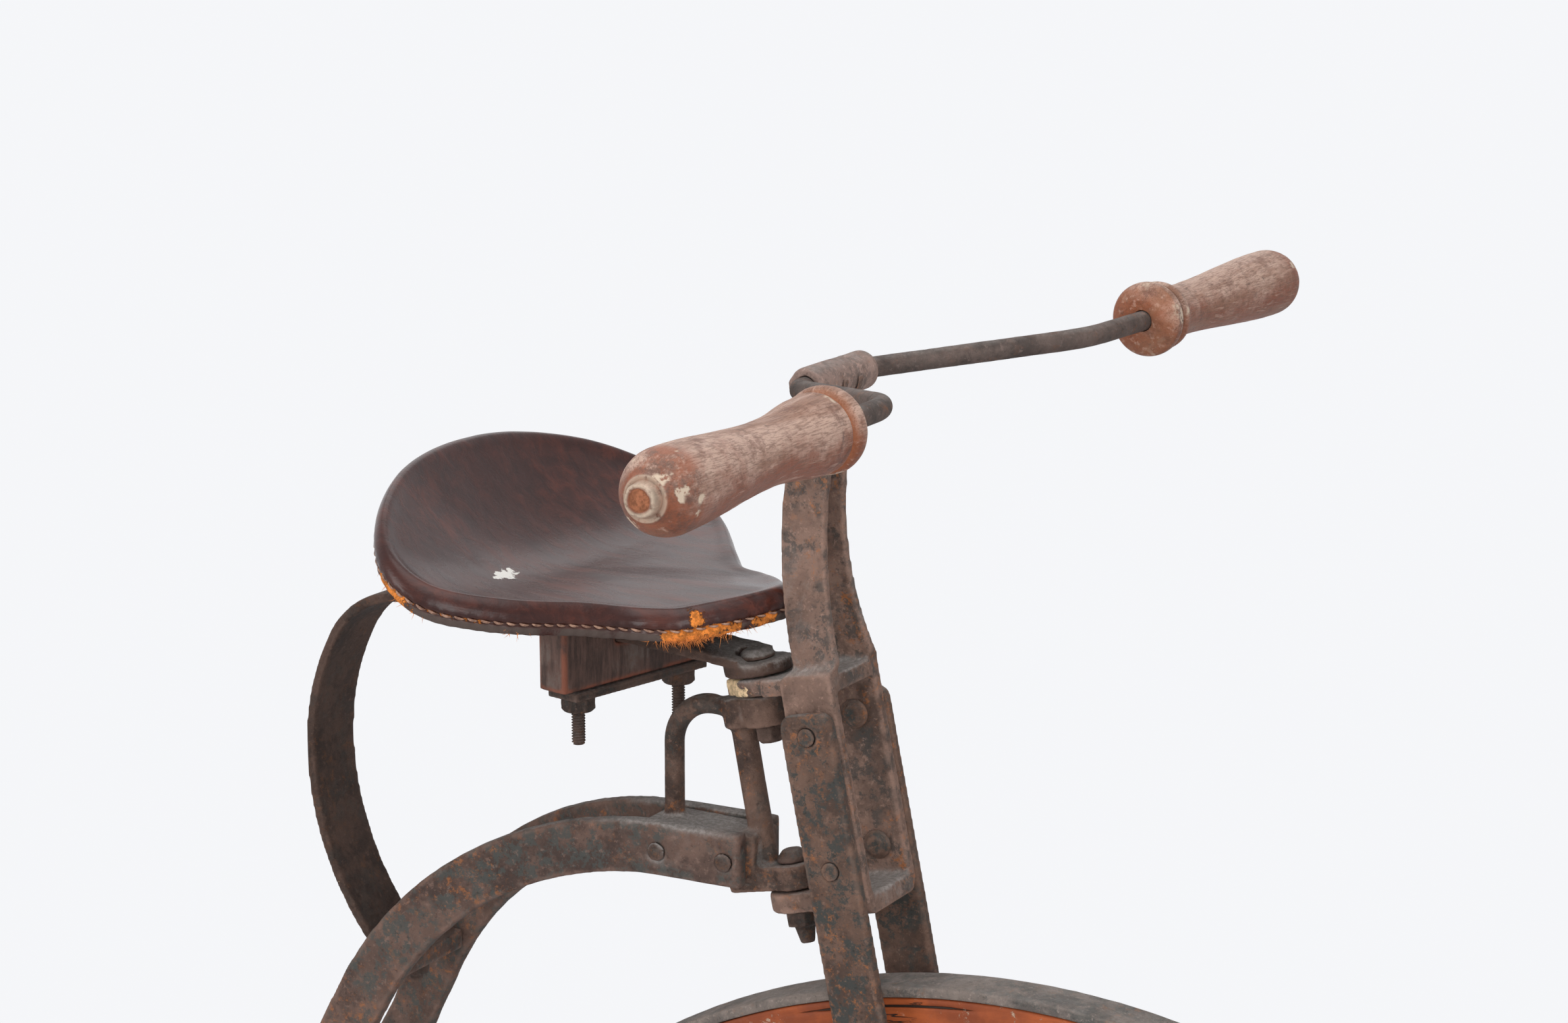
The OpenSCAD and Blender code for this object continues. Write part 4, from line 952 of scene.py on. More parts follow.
    def shape(self, points: np.ndarray, turn: np.ndarray, walk: np.ndarray
              ) -> bpy.types.Object:
        """Presses seam, puckers, wrinkles and tears into the shell and makes its object.

        Args:
            points: (round, across, 3) smooth shell.
            turn: place round the rim, 0 to 1.
            walk: distance round the rim.

        Returns:
            The saddle's leather.
        """
        along = np.roll(points, -1, axis=0) - np.roll(points, 1, axis=0)
        across = np.gradient(points, axis=1)
        normal = unit(np.cross(across, along))
        seam = self.bowl_rows + self.roll_rows - 1
        length = np.cumsum(np.linalg.norm(np.diff(points, axis=1, prepend=points[:, :1]),
                                          axis=-1), axis=1)
        off = length - length[:, seam:seam + 1]
        off[:, seam + 1 + self.hem_rows:] = 0.1
        pitch = np.cos(TAU * walk / self.stitch)[:, None]
        groove = bell(off, 0.75 * MM)
        pull = bell(off, 2.6 * MM)
        low = smooth_step(0.5 * MM, 4.5 * MM, off) * (off < 7.5 * MM)
        turn = turn + 0.0035 * rough_noise(points[:, seam], 0.006, 3, 25)
        torn = self.wear(turn, ((0.878, 0.046, 1.0), (0.925, 0.020, 0.8), (0.650, 0.030, 0.75),
                                (0.965, 0.022, 0.7), (0.2216, 0.010, 0.9)))[:, None]
        spotty = self.wear(turn, ((0.690, 0.045, 0.55), (0.780, 0.075, 0.35)))[:, None]
        rag = rough_noise(points, 0.004, 3, 5)
        push = (-0.75 * groove + 0.22 * pull * (1 - groove) * pitch
                + 0.35 * rough_noise(points, 0.030, 3, 21) * (off < -4 * MM)
                + low * (0.30 * pitch + 0.55 * torn * rag)) * MM
        moved = points + normal * push[..., None]
        moved[..., 2] += self.crest * bell(off + 10.5 * MM, 4.6 * MM)
        moved[..., 2] += low * MM * (0.40 * pitch + 0.35 * rough_noise(points, 0.009, 2, 9))
        band = smooth_step(-2.4 * MM, 0.3 * MM, off) * (off < 8 * MM)
        patch = bell(turn[:, None] - 0.8825, 0.0090) * np.exp(
            -(((off + 4.4 * MM) / (4.2 * MM)) ** 2)) * (off < 1 * MM)
        worn = np.maximum(torn * band, 1.15 * patch)
        worn = np.maximum(worn, spotty * bell(off, 1.4 * MM))
        here = points[..., :2] - np.array(self.chip_at)
        line = np.array([-0.17, 0.985])
        long_off = (here @ line) / self.chip_size[0]
        side_off = (here @ np.array([line[1], -line[0]])) / self.chip_size[1]
        chip = np.clip(1.0 - np.hypot(long_off, side_off), 0.0, 1.0)
        chip[:, self.bowl_rows:] = 0.0
        seam_dark = bell(off, 1.1 * MM)
        skin = Skin("saddle_hide")
        hem = smooth_step(0.7 * MM, 1.7 * MM, off)
        skin.grid(moved, round_u=True, round_v=False, worn=worn, chip=chip, seam=seam_dark,
                  hem=hem)
        return skin.build(self.hide, "frame", Slot.LEATHER, "saddle_leather")

    def seam_frame(self, extra: float, turn_angle: float) -> tuple[np.ndarray, np.ndarray,
                                                                   np.ndarray]:
        """Points on the seam line, the directions along it and straight out of it."""
        rim = self.rim()
        out = np.concatenate([unit(rim[:, :2]), np.zeros((len(rim), 1))], axis=1)
        angle = math.radians(turn_angle)
        normal = out * math.cos(angle) + np.array([0.0, 0.0, math.sin(angle)])
        line = rim + normal * (self.roll + extra)
        along = unit(np.roll(line, -1, axis=0) - np.roll(line, 1, axis=0))
        return line, along, normal

    def stitches(self) -> None:
        """Short threads along the seam: each a thin tube that rises out and dives back in.

        Its middle line stands out by a half sine; its radius shrinks to a point at both
        ends.
        """
        line, along, normal = self.seam_frame(-0.55 * MM, self.seam_turn)
        walk = self.around(line)
        total = walk[-1] + np.linalg.norm(line[0] - line[-1])
        count = int(total / self.stitch)
        middle = (np.arange(count) + 0.5) * total / count
        slide = np.linspace(-0.5, 0.5, 8)
        at = (middle[:, None] + slide[None, :] * 0.86 * self.stitch) % total

        def along_rim(values: np.ndarray) -> np.ndarray:
            """Values of the rim's points at the places of the stitches."""
            ring = np.concatenate([values, values[:1]])
            knots = np.append(walk, total)
            return np.stack([np.interp(at, knots, ring[:, axis]) for axis in range(3)], axis=-1)

        base, way, outward = along_rim(line), unit(along_rim(along)), unit(along_rim(normal))
        side = unit(np.cross(way, outward))
        rise = np.cos(np.pi * slide)[None, :, None]
        base = base + outward * rise * 0.62 * MM + side * slide[None, :, None] * 0.9 * MM
        turn = np.arange(7) / 7 * TAU
        size = (0.58 * MM * np.sqrt(np.clip(1.0 - (2 * slide) ** 2, 0.0, 1.0)) + 0.02 * MM)
        ring = (np.cos(turn)[:, None] * outward[:, :, None, :]
                + np.sin(turn)[:, None] * side[:, :, None, :])
        points = base[:, :, None, :] + ring * size[None, :, None, None]
        skin = Skin("saddle_stitches")
        for stitch in points:
            skin.grid(stitch)
        skin.build(self.thread, "frame", Slot.LEATHER)

    def fibres(self) -> None:
        """Torn fibres: thin tapering hairs that leave the worn hem and curl down."""
        line, along, normal = self.seam_frame(-0.3 * MM, -45.0)
        pick = np.random.default_rng(7)
        spread = np.concatenate([pick.normal(0.878, 0.018, 320), pick.normal(0.925, 0.024, 70),
                                 pick.normal(0.650, 0.022, 26), pick.normal(0.2216, 0.006, 14),
                                 pick.normal(0.735, 0.004, 16)]) % 1.0
        index = (spread * len(line)).astype(int)
        count = len(index)
        start = line[index] + along[index] * pick.normal(0, 0.8 * MM, (count, 1))
        start[:, 2] += pick.uniform(-3.0, 1.2, count) * MM
        way = unit(normal[index] * pick.uniform(0.2, 1.0, (count, 1))
                   + along[index] * pick.normal(0, 0.8, (count, 1))
                   + np.array([0, 0, -1.0]) * pick.uniform(0.0, 0.9, (count, 1)))
        reach = pick.uniform(1.2, 5.0, (count, 1)) * MM
        bend = unit(pick.normal(0, 1, (count, 3))) * reach * 0.45
        t = np.linspace(0.0, 1.0, 6)[None, :, None]
        path = start[:, None] + way[:, None] * reach[:, None] * t + bend[:, None] * t**2
        side = unit(np.cross(way, [0.31, 0.52, 0.79]))
        other = np.cross(way, side)
        turn = np.arange(4) / 4 * TAU
        ring = (np.cos(turn)[None, None, :, None] * side[:, None, None]
                + np.sin(turn)[None, None, :, None] * other[:, None, None])
        size = (0.17 * MM * (1.0 - 0.85 * t))[..., None]
        points = path[:, :, None, :] + ring * size
        skin = Skin("saddle_fibres")
        for hair in points:
            skin.grid(hair)
        skin.build(self.fibre, "frame", Slot.LEATHER)

    def build(self) -> None:
        """Makes leather, stitches and torn fibres."""
        leather = self.shell()
        self.stitches()
        self.fibres()


# ------------------------------------------------------------------ turned and rolled pieces


def along_polyline(corners: np.ndarray, count: int) -> np.ndarray:
    """Count points at even steps along a line through corners."""
    step = np.linalg.norm(np.diff(corners, axis=0), axis=1)
    walk = np.concatenate([[0.0], np.cumsum(step)])
    at = np.linspace(0.0, walk[-1], count)
    return np.stack([np.interp(at, walk, corners[:, axis]) for axis in (0, 1)], axis=1)


def soft_section(corners: np.ndarray, count: int, times: int = 2) -> np.ndarray:
    """Closed section at even steps, its corners eased by averaging neighbours.

    Args:
        corners: (n, 2) corners of the section.
        count: points of the result.
        times: how often each point is averaged with its neighbours.

    Returns:
        (count, 2) points.
    """
    ring = along_polyline(np.concatenate([corners, corners[:1]]), count + 1)[:-1]
    for _ in range(times):
        ring = 0.5 * ring + 0.25 * (np.roll(ring, 1, axis=0) + np.roll(ring, -1, axis=0))
    return ring


def turned(start: np.ndarray, axis: np.ndarray, profile: np.ndarray, around: int
           ) -> np.ndarray:
    """Surface of a profile turned round an axis.

    Args:
        start: point of the axis where the profile's distance is 0.
        axis: unit direction of the axis.
        profile: (m, 2) distances along the axis and radii.
        around: points round the axis.

    Returns:
        (m, around, 3) grid.
    """
    side = unit(np.cross(axis, [0.12, 0.05, 0.99]))
    other = np.cross(axis, side)
    turn = np.arange(around) / around * TAU
    ring = np.cos(turn)[:, None] * side + np.sin(turn)[:, None] * other
    return (start + profile[:, 0, None, None] * axis
            + profile[:, 1, None, None] * ring[None, :, :])


@dataclass
class Grip:
    """Turned wooden grip: ring, groove, ring, waist, swell and a rounded end with a nub."""

    side: Side
    length: float = 152 * MM
    radius: float = 15.875 * MM
    nub: float = 3.45 * MM
    right_body: tuple[tuple[float, float], ...] = (
        (20, 15.5), (26, 15.4), (33, 14.7), (42, 13.5), (52, 12.7), (62, 12.4), (74, 12.7),
        (88, 13.4), (104, 14.5), (120, 15.5), (131, 15.85), (135, 15.8))
    left_body: tuple[tuple[float, float], ...] = (
        (20.3, 14.0), (22, 13.2), (26, 12.4), (34, 11.9), (44, 11.9), (58, 12.4), (74, 13.3),
        (90, 14.3), (106, 15.2), (120, 15.75), (131, 15.85), (135, 15.8))

    def body_line(self) -> np.ndarray:
        """Distances and radii of waist and swell: the listed points, eased by averaging."""
        points = np.array(self.left_body if self.side is Side.LEFT else self.right_body)
        s = np.linspace(points[0, 0], points[-1, 0], 120)
        r = np.interp(s, points[:, 0], points[:, 1])
        for _ in range(14):
            r[1:-1] = 0.5 * r[1:-1] + 0.25 * (r[:-2] + r[2:])
        return np.stack([s, r], axis=1) * MM

    def profile(self) -> np.ndarray:
        """Distances along the grip and radii, finely stepped."""
        r, l = self.radius, self.length
        head = np.array([(0.4, 5.0), (0.1, 6.5), (0.0, 9.5), (0.5, 11.4), (1.5, 13.4),
                         (3.0, 15.6), (5.0, 16.9), (7.0, 17.1), (9.0, 16.8), (10.6, 15.9),
                         (11.6, 14.6), (12.3, 13.2), (13.0, 12.7), (13.7, 13.2), (14.3, 14.3),
                         (15.0, 15.3), (15.9, 15.8), (17.2, 15.9), (18.6, 15.7)]) * MM
        if self.side is Side.LEFT:
            head = np.concatenate([head, np.array([(19.3, 15.2), (19.8, 14.6)]) * MM])
        body = self.body_line()
        a = np.radians(np.linspace(4.0, 56.0, 22))
        end = np.stack([l - 17 * MM + 15 * MM * np.sin(a), r * (0.36 + 0.64 * np.cos(a))], axis=1)
        tip = np.array([(l - 3.3 * MM, 10.2 * MM), (l - 2.5 * MM, 9.0 * MM),
                        (l - 1.3 * MM, 8.6 * MM), (l - 0.7 * MM, 8.1 * MM),
                        (l - 0.6 * MM, 7.2 * MM), (l - 1.0 * MM, 6.6 * MM),
                        (l + 0.4 * MM, 6.25 * MM), (l + 2.3 * MM, 6.1 * MM),
                        (l + 3.2 * MM, 5.7 * MM), (l + self.nub, 5.0 * MM),
                        (l + 3.3 * MM, 4.3 * MM), (l + 2.9 * MM, 3.6 * MM),
                        (l + 2.8 * MM, 1.8 * MM), (l + 2.9 * MM, 0.0)])
        rough = np.concatenate([head, body, end, tip])
        return along_polyline(rough, 300)

    def build(self) -> None:
        """Turns the grip on its CAD node's own axis and wears it.

        The axis is the direction in which the node's points spread most. Wear along the
        radius is noise of 9 mm and 2 mm; chips press in where fine noise is high near the
        end and on the rings.
        """
        node = "grip_left" if self.side is Side.LEFT else "grip_right"
        points = vertex_values(frame["nodes"][node].data, "co")
        points = np.unique(np.round(points, 6), axis=0)
        middle = points.mean(axis=0)
        axis = np.linalg.svd(points - middle, full_matrices=False)[2][0]
        axis = axis * np.sign(axis[1]) * self.side.value
        reach = (points - middle) @ axis
        start = middle + axis * reach.min()
        profile = self.profile()
        grid = turned(start, axis, profile, 120)
        centre = start + profile[:, 0, None, None] * axis
        outward = unit(grid - centre + 1e-9)
        s = np.broadcast_to(profile[:, :1] / MM, grid.shape[:2])
        tip = smooth_step(130.0, 141.0, s)
        crest = bell(s - 7.0, 4.0) + bell(s - 17.0, 1.6)
        near = smooth_step(0.30, 0.36, rough_noise(grid, 0.006, 3, 31 + self.side.value))
        dents = near * np.clip(tip + 0.7 * crest, 0.0, 1.0) * (s < 151.0)
        wear = 0.16 * rough_noise(grid, 0.011, 3, 3) + 0.05 * rough_noise(grid, 0.0022, 2, 8)
        nub_rag = smooth_step(151.2, 152.4, s) * rough_noise(grid, 0.0035, 2, 12)
        grid = grid - outward * ((0.10 + wear + 0.30 * dents + 0.45 * nub_rag) * MM)[..., None]
        groove = (bell(s - 13.0, 1.5) + 0.45 * (s < 4.5)
                  + 0.35 * bell(s - 10.6, 1.4))
        line = bell(s - 20.4, 0.8) * (0.5 + 0.5 * rough_noise(grid, 0.01, 2, 17))
        line = line * (self.side is Side.LEFT) + 0.8 * bell(s - 14.2, 0.35)
        rim = bell(profile[:, 1] / MM - 5.4, 0.9)[:, None] * (s > 151.5)
        ledge = bell(s - 151.3, 0.35) * (s > 149.5)
        pale = np.clip(rim + 0.7 * ledge, 0.0, 1.0)
        skin = Skin(node + "_turned")
        skin.grid(grid, round_u=False, round_v=True, groove=np.clip(groove, 0, 1),
                  rub=np.clip(0.9 * tip, 0, 1) * (s < 152), line=np.clip(line, 0, 1),
                  chip=np.clip(1.2 * dents, 0, 1), rim=pale,
                  plug=(s > 152.0) * (profile[:, 1:2] < 4.6 * MM))
        turn = math.atan2(axis[0], axis[1])
        skin.build(WornWood(f"grip_wood_{self.side.name.lower()}", turn), "steering",
                   Slot.WOOD, node)


@dataclass
class Sleeve:
    """Rough iron sleeve that holds the handlebar: a tube with a cracked ring seam."""

    length: float = 52 * MM
    radius: float = 8.75 * MM
    bore: float = 4.85 * MM

    def build(self) -> None:
        """Turns the tube and wears it.

        The seam is a narrow bell curve round the tube that wanders by noise; the end
        towards the right is ragged by noise of the turn.
        """
        low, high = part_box("handlebar_sleeve")
        start = np.array([(low.x + high.x) / 2, low.y, (low.z + high.z) / 2])
        r, l = self.radius, self.length
        corners = np.array([(0.0, self.bore), (0.0, r - 1.0 * MM), (0.8 * MM, r - 0.1 * MM),
                            (0.63 * l, r - 0.1 * MM), (0.66 * l, r - 0.5 * MM),
                            (0.69 * l, r), (l - 0.8 * MM, r), (l, r - 1.0 * MM), (l, self.bore)])
        section = soft_section(corners, 200, 1)
        grid = turned(start, np.array([0.0, 1.0, 0.0]), section, 110)
        axis = start + section[:, 0, None, None] * np.array([0.0, 1.0, 0.0])
        outward = unit(grid - axis)
        s = section[:, :1] + np.zeros(grid.shape[:2])
        outer = smooth_step(r - 1.6 * MM, r - 0.6 * MM, section[:, 1:2])
        wander = 0.665 * l + 0.9 * MM * rough_noise(grid[100:101], 0.010, 3, 91)
        seam = outer * bell(s - wander, 0.55 * MM)
        gap = seam * smooth_step(0.0, 0.35, lattice_noise(grid, 0.012, 93))
        ragged = smooth_step(3.5 * MM, 0.0, s) * (0.5 + rough_noise(grid, 0.005, 3, 95))
        push = outer * (0.25 * (1 + rough_noise(grid, 0.012, 3, 97)) + 0.35 * seam + 1.1 * gap)
        grid = grid - outward * ((push + 0.7 * outer * ragged) * MM)[..., None]
        grid[..., 1] += 0.9 * MM * ragged
        zero = np.zeros(grid.shape[:2])
        skin = Skin("handlebar_sleeve_worn")
        skin.grid(grid, round_u=True, edge=0.5 * outer * smooth_step(0.9 * l, l, s),
                  nook=0.8 * seam, dusty=zero, pale=zero)
        skin.build(SLEEVE_IRON, "steering", Slot.IRON, "handlebar_sleeve")


@dataclass
class Studs:
    """The two threaded studs of the saddle's clamp with their nuts."""

    at_x: float = 22 * MM
    span: float = 64 * MM
    skew: float = 13.0
    radius: float = 3.18 * MM
    pitch: float = 1.25 * MM
    nut_size: float = 7.6 * MM
    nut_top: float = 21.9 * MM
    nut_high: float = 6.5 * MM

    def build(self) -> None:
        """Threads and nuts.

        Thread: the radius follows a triangle wave of the height less the turn. Nut: the
        radius is the smaller of a hexagon's and of a cone's that cuts its corners.
        """
        low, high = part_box("saddle_studs")
        skew = math.radians(self.skew)
        skin = Skin("saddle_studs_threaded")
        for side in Side:
            start = np.array([self.at_x + side.value * self.span / 2 * math.sin(skew),
                              side.value * self.span / 2 * math.cos(skew), low.z])
            long = high.z - low.z
            height = np.linspace(0.0, long, int(long / self.pitch * 8))
            grid = turned(start, np.array([0, 0, 1.0]),
                          np.stack([height, np.full_like(height, self.radius)], axis=1), 28)
            turn = np.arange(28)[None, :] / 28
            wave = np.abs(((height[:, None] / self.pitch - turn) % 1.0) - 0.5) * 2.0
            ends = smooth_step(0.0, 1.2 * MM, height) * smooth_step(0, 1.0 * MM, long - height)
            size = 1.0 - 0.26 * wave - 0.12 * (1.0 - ends[:, None])
            centre = start + height[:, None, None] * np.array([0, 0, 1.0])
            grid = centre + (grid - centre) * size[..., None]
            cap = np.broadcast_to(centre[:1], (1, 28, 3)), np.broadcast_to(centre[-1:], (1, 28, 3))
            grid = np.concatenate([cap[0], grid, cap[1]])
            zero = np.zeros(grid.shape[:2])
            skin.grid(grid, edge=zero + 0.4, nook=zero, dusty=zero, pale=zero)
            self.nut(skin, start + np.array([0, 0, self.nut_top - self.nut_high]))
        skin.build(DARK_IRON, "frame", Slot.DARK_IRON, "saddle_studs")

    def nut(self, skin: Skin, start: np.ndarray) -> None:
        """Adds one hexagon nut that stands on start."""
        rows = np.array([0, 0, 0.04, 0.12, 0.25, 0.5, 0.75, 0.88, 0.96, 1.0, 1.0])
        turn = np.arange(96) / 96 * TAU
        hexagon = self.nut_size * math.cos(math.pi / 6) / np.cos(
            (turn + math.pi / 6) % (math.pi / 3) - math.pi / 6)
        cone = self.nut_size * (0.875 + 1.1 * np.minimum(rows, 1.0 - rows))
        size = np.minimum(hexagon[None, :], cone[:, None])
        size[[0, -1]] = self.radius
        size = size * (1.0 - 0.012 * (1 + np.sin(5 * turn + 9 * rows[:, None])))
        grid = np.stack([start[0] + size * np.cos(turn), start[1] + size * np.sin(turn),
                         start[2] + np.broadcast_to(rows[:, None] * self.nut_high, size.shape)],
                        axis=-1)
        zero = np.zeros(size.shape)
        skin.grid(grid, edge=(size > 0.93 * self.nut_size) * 0.8, nook=zero, dusty=zero, pale=zero)


# ------------------------------------------------------------------ wheels


@dataclass
class Wheel:
    """Wooden wheel: felloes, turned spokes and hub inside an iron tyre."""

    name: str
    body: str
    centre: Colour
    radius: float
    spokes: int
    hub_radius: float
    hub_half: float
    bore: float
    felloes: int
    tyre_width: float = 24 * MM
    tyre_thick: float = 5 * MM
    rim_depth: float = 30 * MM
    spoke_wide: float = 17 * MM
    gap: float = 0.3 * MM

    def placed(self, reach: np.ndarray, across: np.ndarray, turn: np.ndarray) -> np.ndarray:
        """Points at a distance from the hub's axis, a place across and a turn from the top."""
        x, y, z = self.centre
        return np.stack([x + reach * np.sin(turn), y + across + 0 * reach,
                         z + reach * np.cos(turn)], axis=-1)

    def wood(self, part: str, radius: float) -> Finish:
        """Painted wood whose grain runs round this wheel."""
        return PaintedWood(f"{self.name}_{part}_wood", self.centre, radius)

    def tyre(self) -> None:
        """Flat iron hoop: its section carried round the hub, hammered and worn thinner.

        The radius loses up to 0.4 mm by broad noise and the edges roll over unevenly.
        """
        r, t, w = self.radius, self.tyre_thick, self.tyre_width / 2
        corners = np.array([(r - t, -w), (r - 0.9 * MM, -w), (r, -w + 1.3 * MM),
                            (r, w - 1.3 * MM), (r - 0.9 * MM, w), (r - t, w)])
        section = soft_section(corners, 66)
        turn = np.linspace(0, TAU, 660, endpoint=False)[:, None]
        grid = self.placed(section[None, :, 0] + 0 * turn, section[None, :, 1] + 0 * turn,
                           turn + 0 * section[None, :, 0])
        outer = smooth_step(r - t, r - 0.5 * t, section[:, 0])[None, :]
        depth = outer * (0.22 + 0.20 * rough_noise(grid, 0.035, 3, 41)
                         + 0.12 * rough_noise(grid, 0.004, 2, 45))
        rim = smooth_step(0.8, 1.0, np.abs(section[:, 1]) / w)[None, :]
        grid[..., 1] -= np.sign(section[:, 1]) * rim * 0.35 * MM * (
            1 + rough_noise(grid, 0.012, 3, 43))
        away = unit(grid - self.placed(np.zeros_like(turn + section[:, 0]),
                                       section[None, :, 1] + 0 * turn,
                                       turn + 0 * section[None, :, 0]))
        grid = grid - away * (depth * MM)[..., None]
        edge = rim * smooth_step(r - 2.2 * MM, r, section[:, 0])[None, :] + 0 * turn
        skin = Skin(self.name + "_tyre_worn")
        zero = np.zeros_like(edge)
        skin.grid(grid, round_u=True, edge=edge, nook=zero, dusty=zero, pale=zero)
        skin.build(TYRE_IRON, self.body, Slot.TYRE, self.name + "_tyre")

    def rim(self) -> None:
        """Felloes: a chamfered section carried round, with cut joints and a ragged crack.

        The crack follows a wandering radius a few millimetres under the tyre and is
        pressed in as a narrow bell curve; the joints are narrow bell curves of the turn.
        """
        o = self.radius - self.tyre_thick - self.gap
        w = self.tyre_width / 2 - 0.5 * MM
        d = self.rim_depth
        corners = np.array([(o, -w), (o, w), (o - d + 7 * MM, w), (o - d, w - 6 * MM),
                            (o - d, -w + 6 * MM), (o - d + 7 * MM, -w)])
        section = soft_section(corners, 112)
        turn = np.linspace(0, TAU, 720, endpoint=False)[:, None]
        reach = section[None, :, 0] + 0 * turn
        across = section[None, :, 1] + 0 * turn
        grid = self.placed(reach, across, turn + 0 * reach)
        ring = self.placed(np.full_like(turn, o), 0 * turn, turn)[:, 0]
        side = np.sign(across) * smooth_step(0.80, 0.97, np.abs(across) / w)
        wander = (2.9 + 1.8 * rough_noise(ring, 0.05, 4, 51)) * MM
        open_here = smooth_step(-0.12, 0.16, lattice_noise(ring, 0.14, 53))
        wide = (0.42 + 0.45 * np.clip(rough_noise(ring, 0.012, 2, 55), 0, 1)) * MM
        crack = open_here[:, None] * bell(o - reach - wander[:, None], wide[:, None])
        crack = crack * (across < 0) + 0.7 * crack[::-1] * (across > 0)
        share = (turn / TAU * self.felloes + 0.37) % 1.0
        joint = (bell(np.minimum(share, 1 - share) * TAU * o / self.felloes, 0.9 * MM)
                 * (reach < o - 0.5 * MM))
        lip = smooth_step(o - 5 * MM, o - 2 * MM, reach) * np.abs(side)
        push = side * (-1.3 * crack - 0.8 * joint - 0.35 * lip
                       + 0.15 * rough_noise(grid, 0.02, 3, 57))
        grid[..., 1] += push * MM
        inner = smooth_step(o - d + 8 * MM, o - d, reach)
        lift = inner * (0.8 * joint - 0.15 * rough_noise(grid, 0.03, 2, 59))
        grid[..., 0] += (lift * MM) * np.sin(turn)
        grid[..., 2] += (lift * MM) * np.cos(turn)
        skin = Skin(self.name + "_felloes")
        skin.grid(grid, round_u=True, crack=np.clip(crack + 0.9 * joint, 0, 1),
                  chip=np.clip(bell(o - reach - wander[:, None], 4 * MM)
                               * np.abs(side), 0, 1))
        skin.build(self.wood("rim", o - d / 2), self.body, Slot.PAINTED, self.name + "_rim")

    def turned_spokes(self) -> None:
        """Spokes: a turned profile with a bead at the hub, repeated round the wheel."""
        low, high = self.hub_radius - 1.5 * MM, (
            self.radius - self.tyre_thick - self.gap - self.rim_depth + 1.0 * MM)
        t = np.linspace(0.0, 1.0, 46)
        wide = self.spoke_wide / 2
        size = (wide - 2.0 * MM * t - 1.2 * MM * smooth_step(0.05, 0.16, t)
                + 1.0 * MM * smooth_step(0.80, 0.95, t)
                + 0.9 * MM * bell(t - 0.10, 0.016))
        profile = np.stack([low + (high - low) * t, size], axis=1)
        skin = Skin(self.name + "_spokes_turned")
        for number in range(self.spokes):
            turn = (number + 0.5) * TAU / self.spokes
            axis = np.array([math.sin(turn), 0.0, math.cos(turn)])
            grid = turned(np.array(self.centre), axis, profile, 20)
            wear = 0.20 * rough_noise(grid, 0.02, 2, 61 + number)
            outward = unit(grid - grid.mean(axis=1, keepdims=True))
            grid = grid - outward * ((wear + 0.2) * MM)[..., None]
            skin.grid(grid, crack=np.zeros(grid.shape[:2]), chip=np.zeros(grid.shape[:2]))
        skin.build(self.wood("spoke", 0.05), self.body, Slot.PAINTED, self.name + "_spokes")

    def hub(self) -> None:
        """Hub: a turned barrel with a raised band for the spokes and a bore."""
        r, half, flat = self.hub_radius, self.hub_half, self.spoke_wide / 2 + 3 * MM
        outer = np.array([(-half, self.bore), (-half, r - 8.2 * MM), (-half + 8 * MM, r - 8.2 * MM),
                          (-half + 8.2 * MM, r - 5.4 * MM), (-half + 12 * MM, r - 4.6 * MM),
                          (-flat - 2.4 * MM, r - 1.6 * MM), (-flat, r - 0.1 * MM),
                          (flat, r - 0.1 * MM), (flat + 2.4 * MM, r - 1.6 * MM),
                          (half - 12 * MM, r - 4.6 * MM), (half - 8.2 * MM, r - 5.4 * MM),
                          (half - 8 * MM, r - 8.2 * MM), (half, r - 8.2 * MM), (half, self.bore)])
        grid = turned(np.array(self.centre), np.array([0, 1.0, 0]),
                      soft_section(outer, 190, 1), 96)
        outward = unit(grid - grid.mean(axis=1, keepdims=True))
        grid = grid - outward * (0.18 * (1 + rough_noise(grid, 0.012, 3, 71)) * MM)[..., None]
        skin = Skin(self.name + "_hub_turned")
        skin.grid(grid, round_u=True, crack=np.zeros(grid.shape[:2]),
                  chip=np.zeros(grid.shape[:2]))
        skin.build(self.wood("hub", 0.03), self.body, Slot.PAINTED, self.name + "_hub")

    def build(self) -> None:
        """Makes tyre, felloes, spokes and hub."""
        self.tyre()
        self.rim()
        self.turned_spokes()
        self.hub()


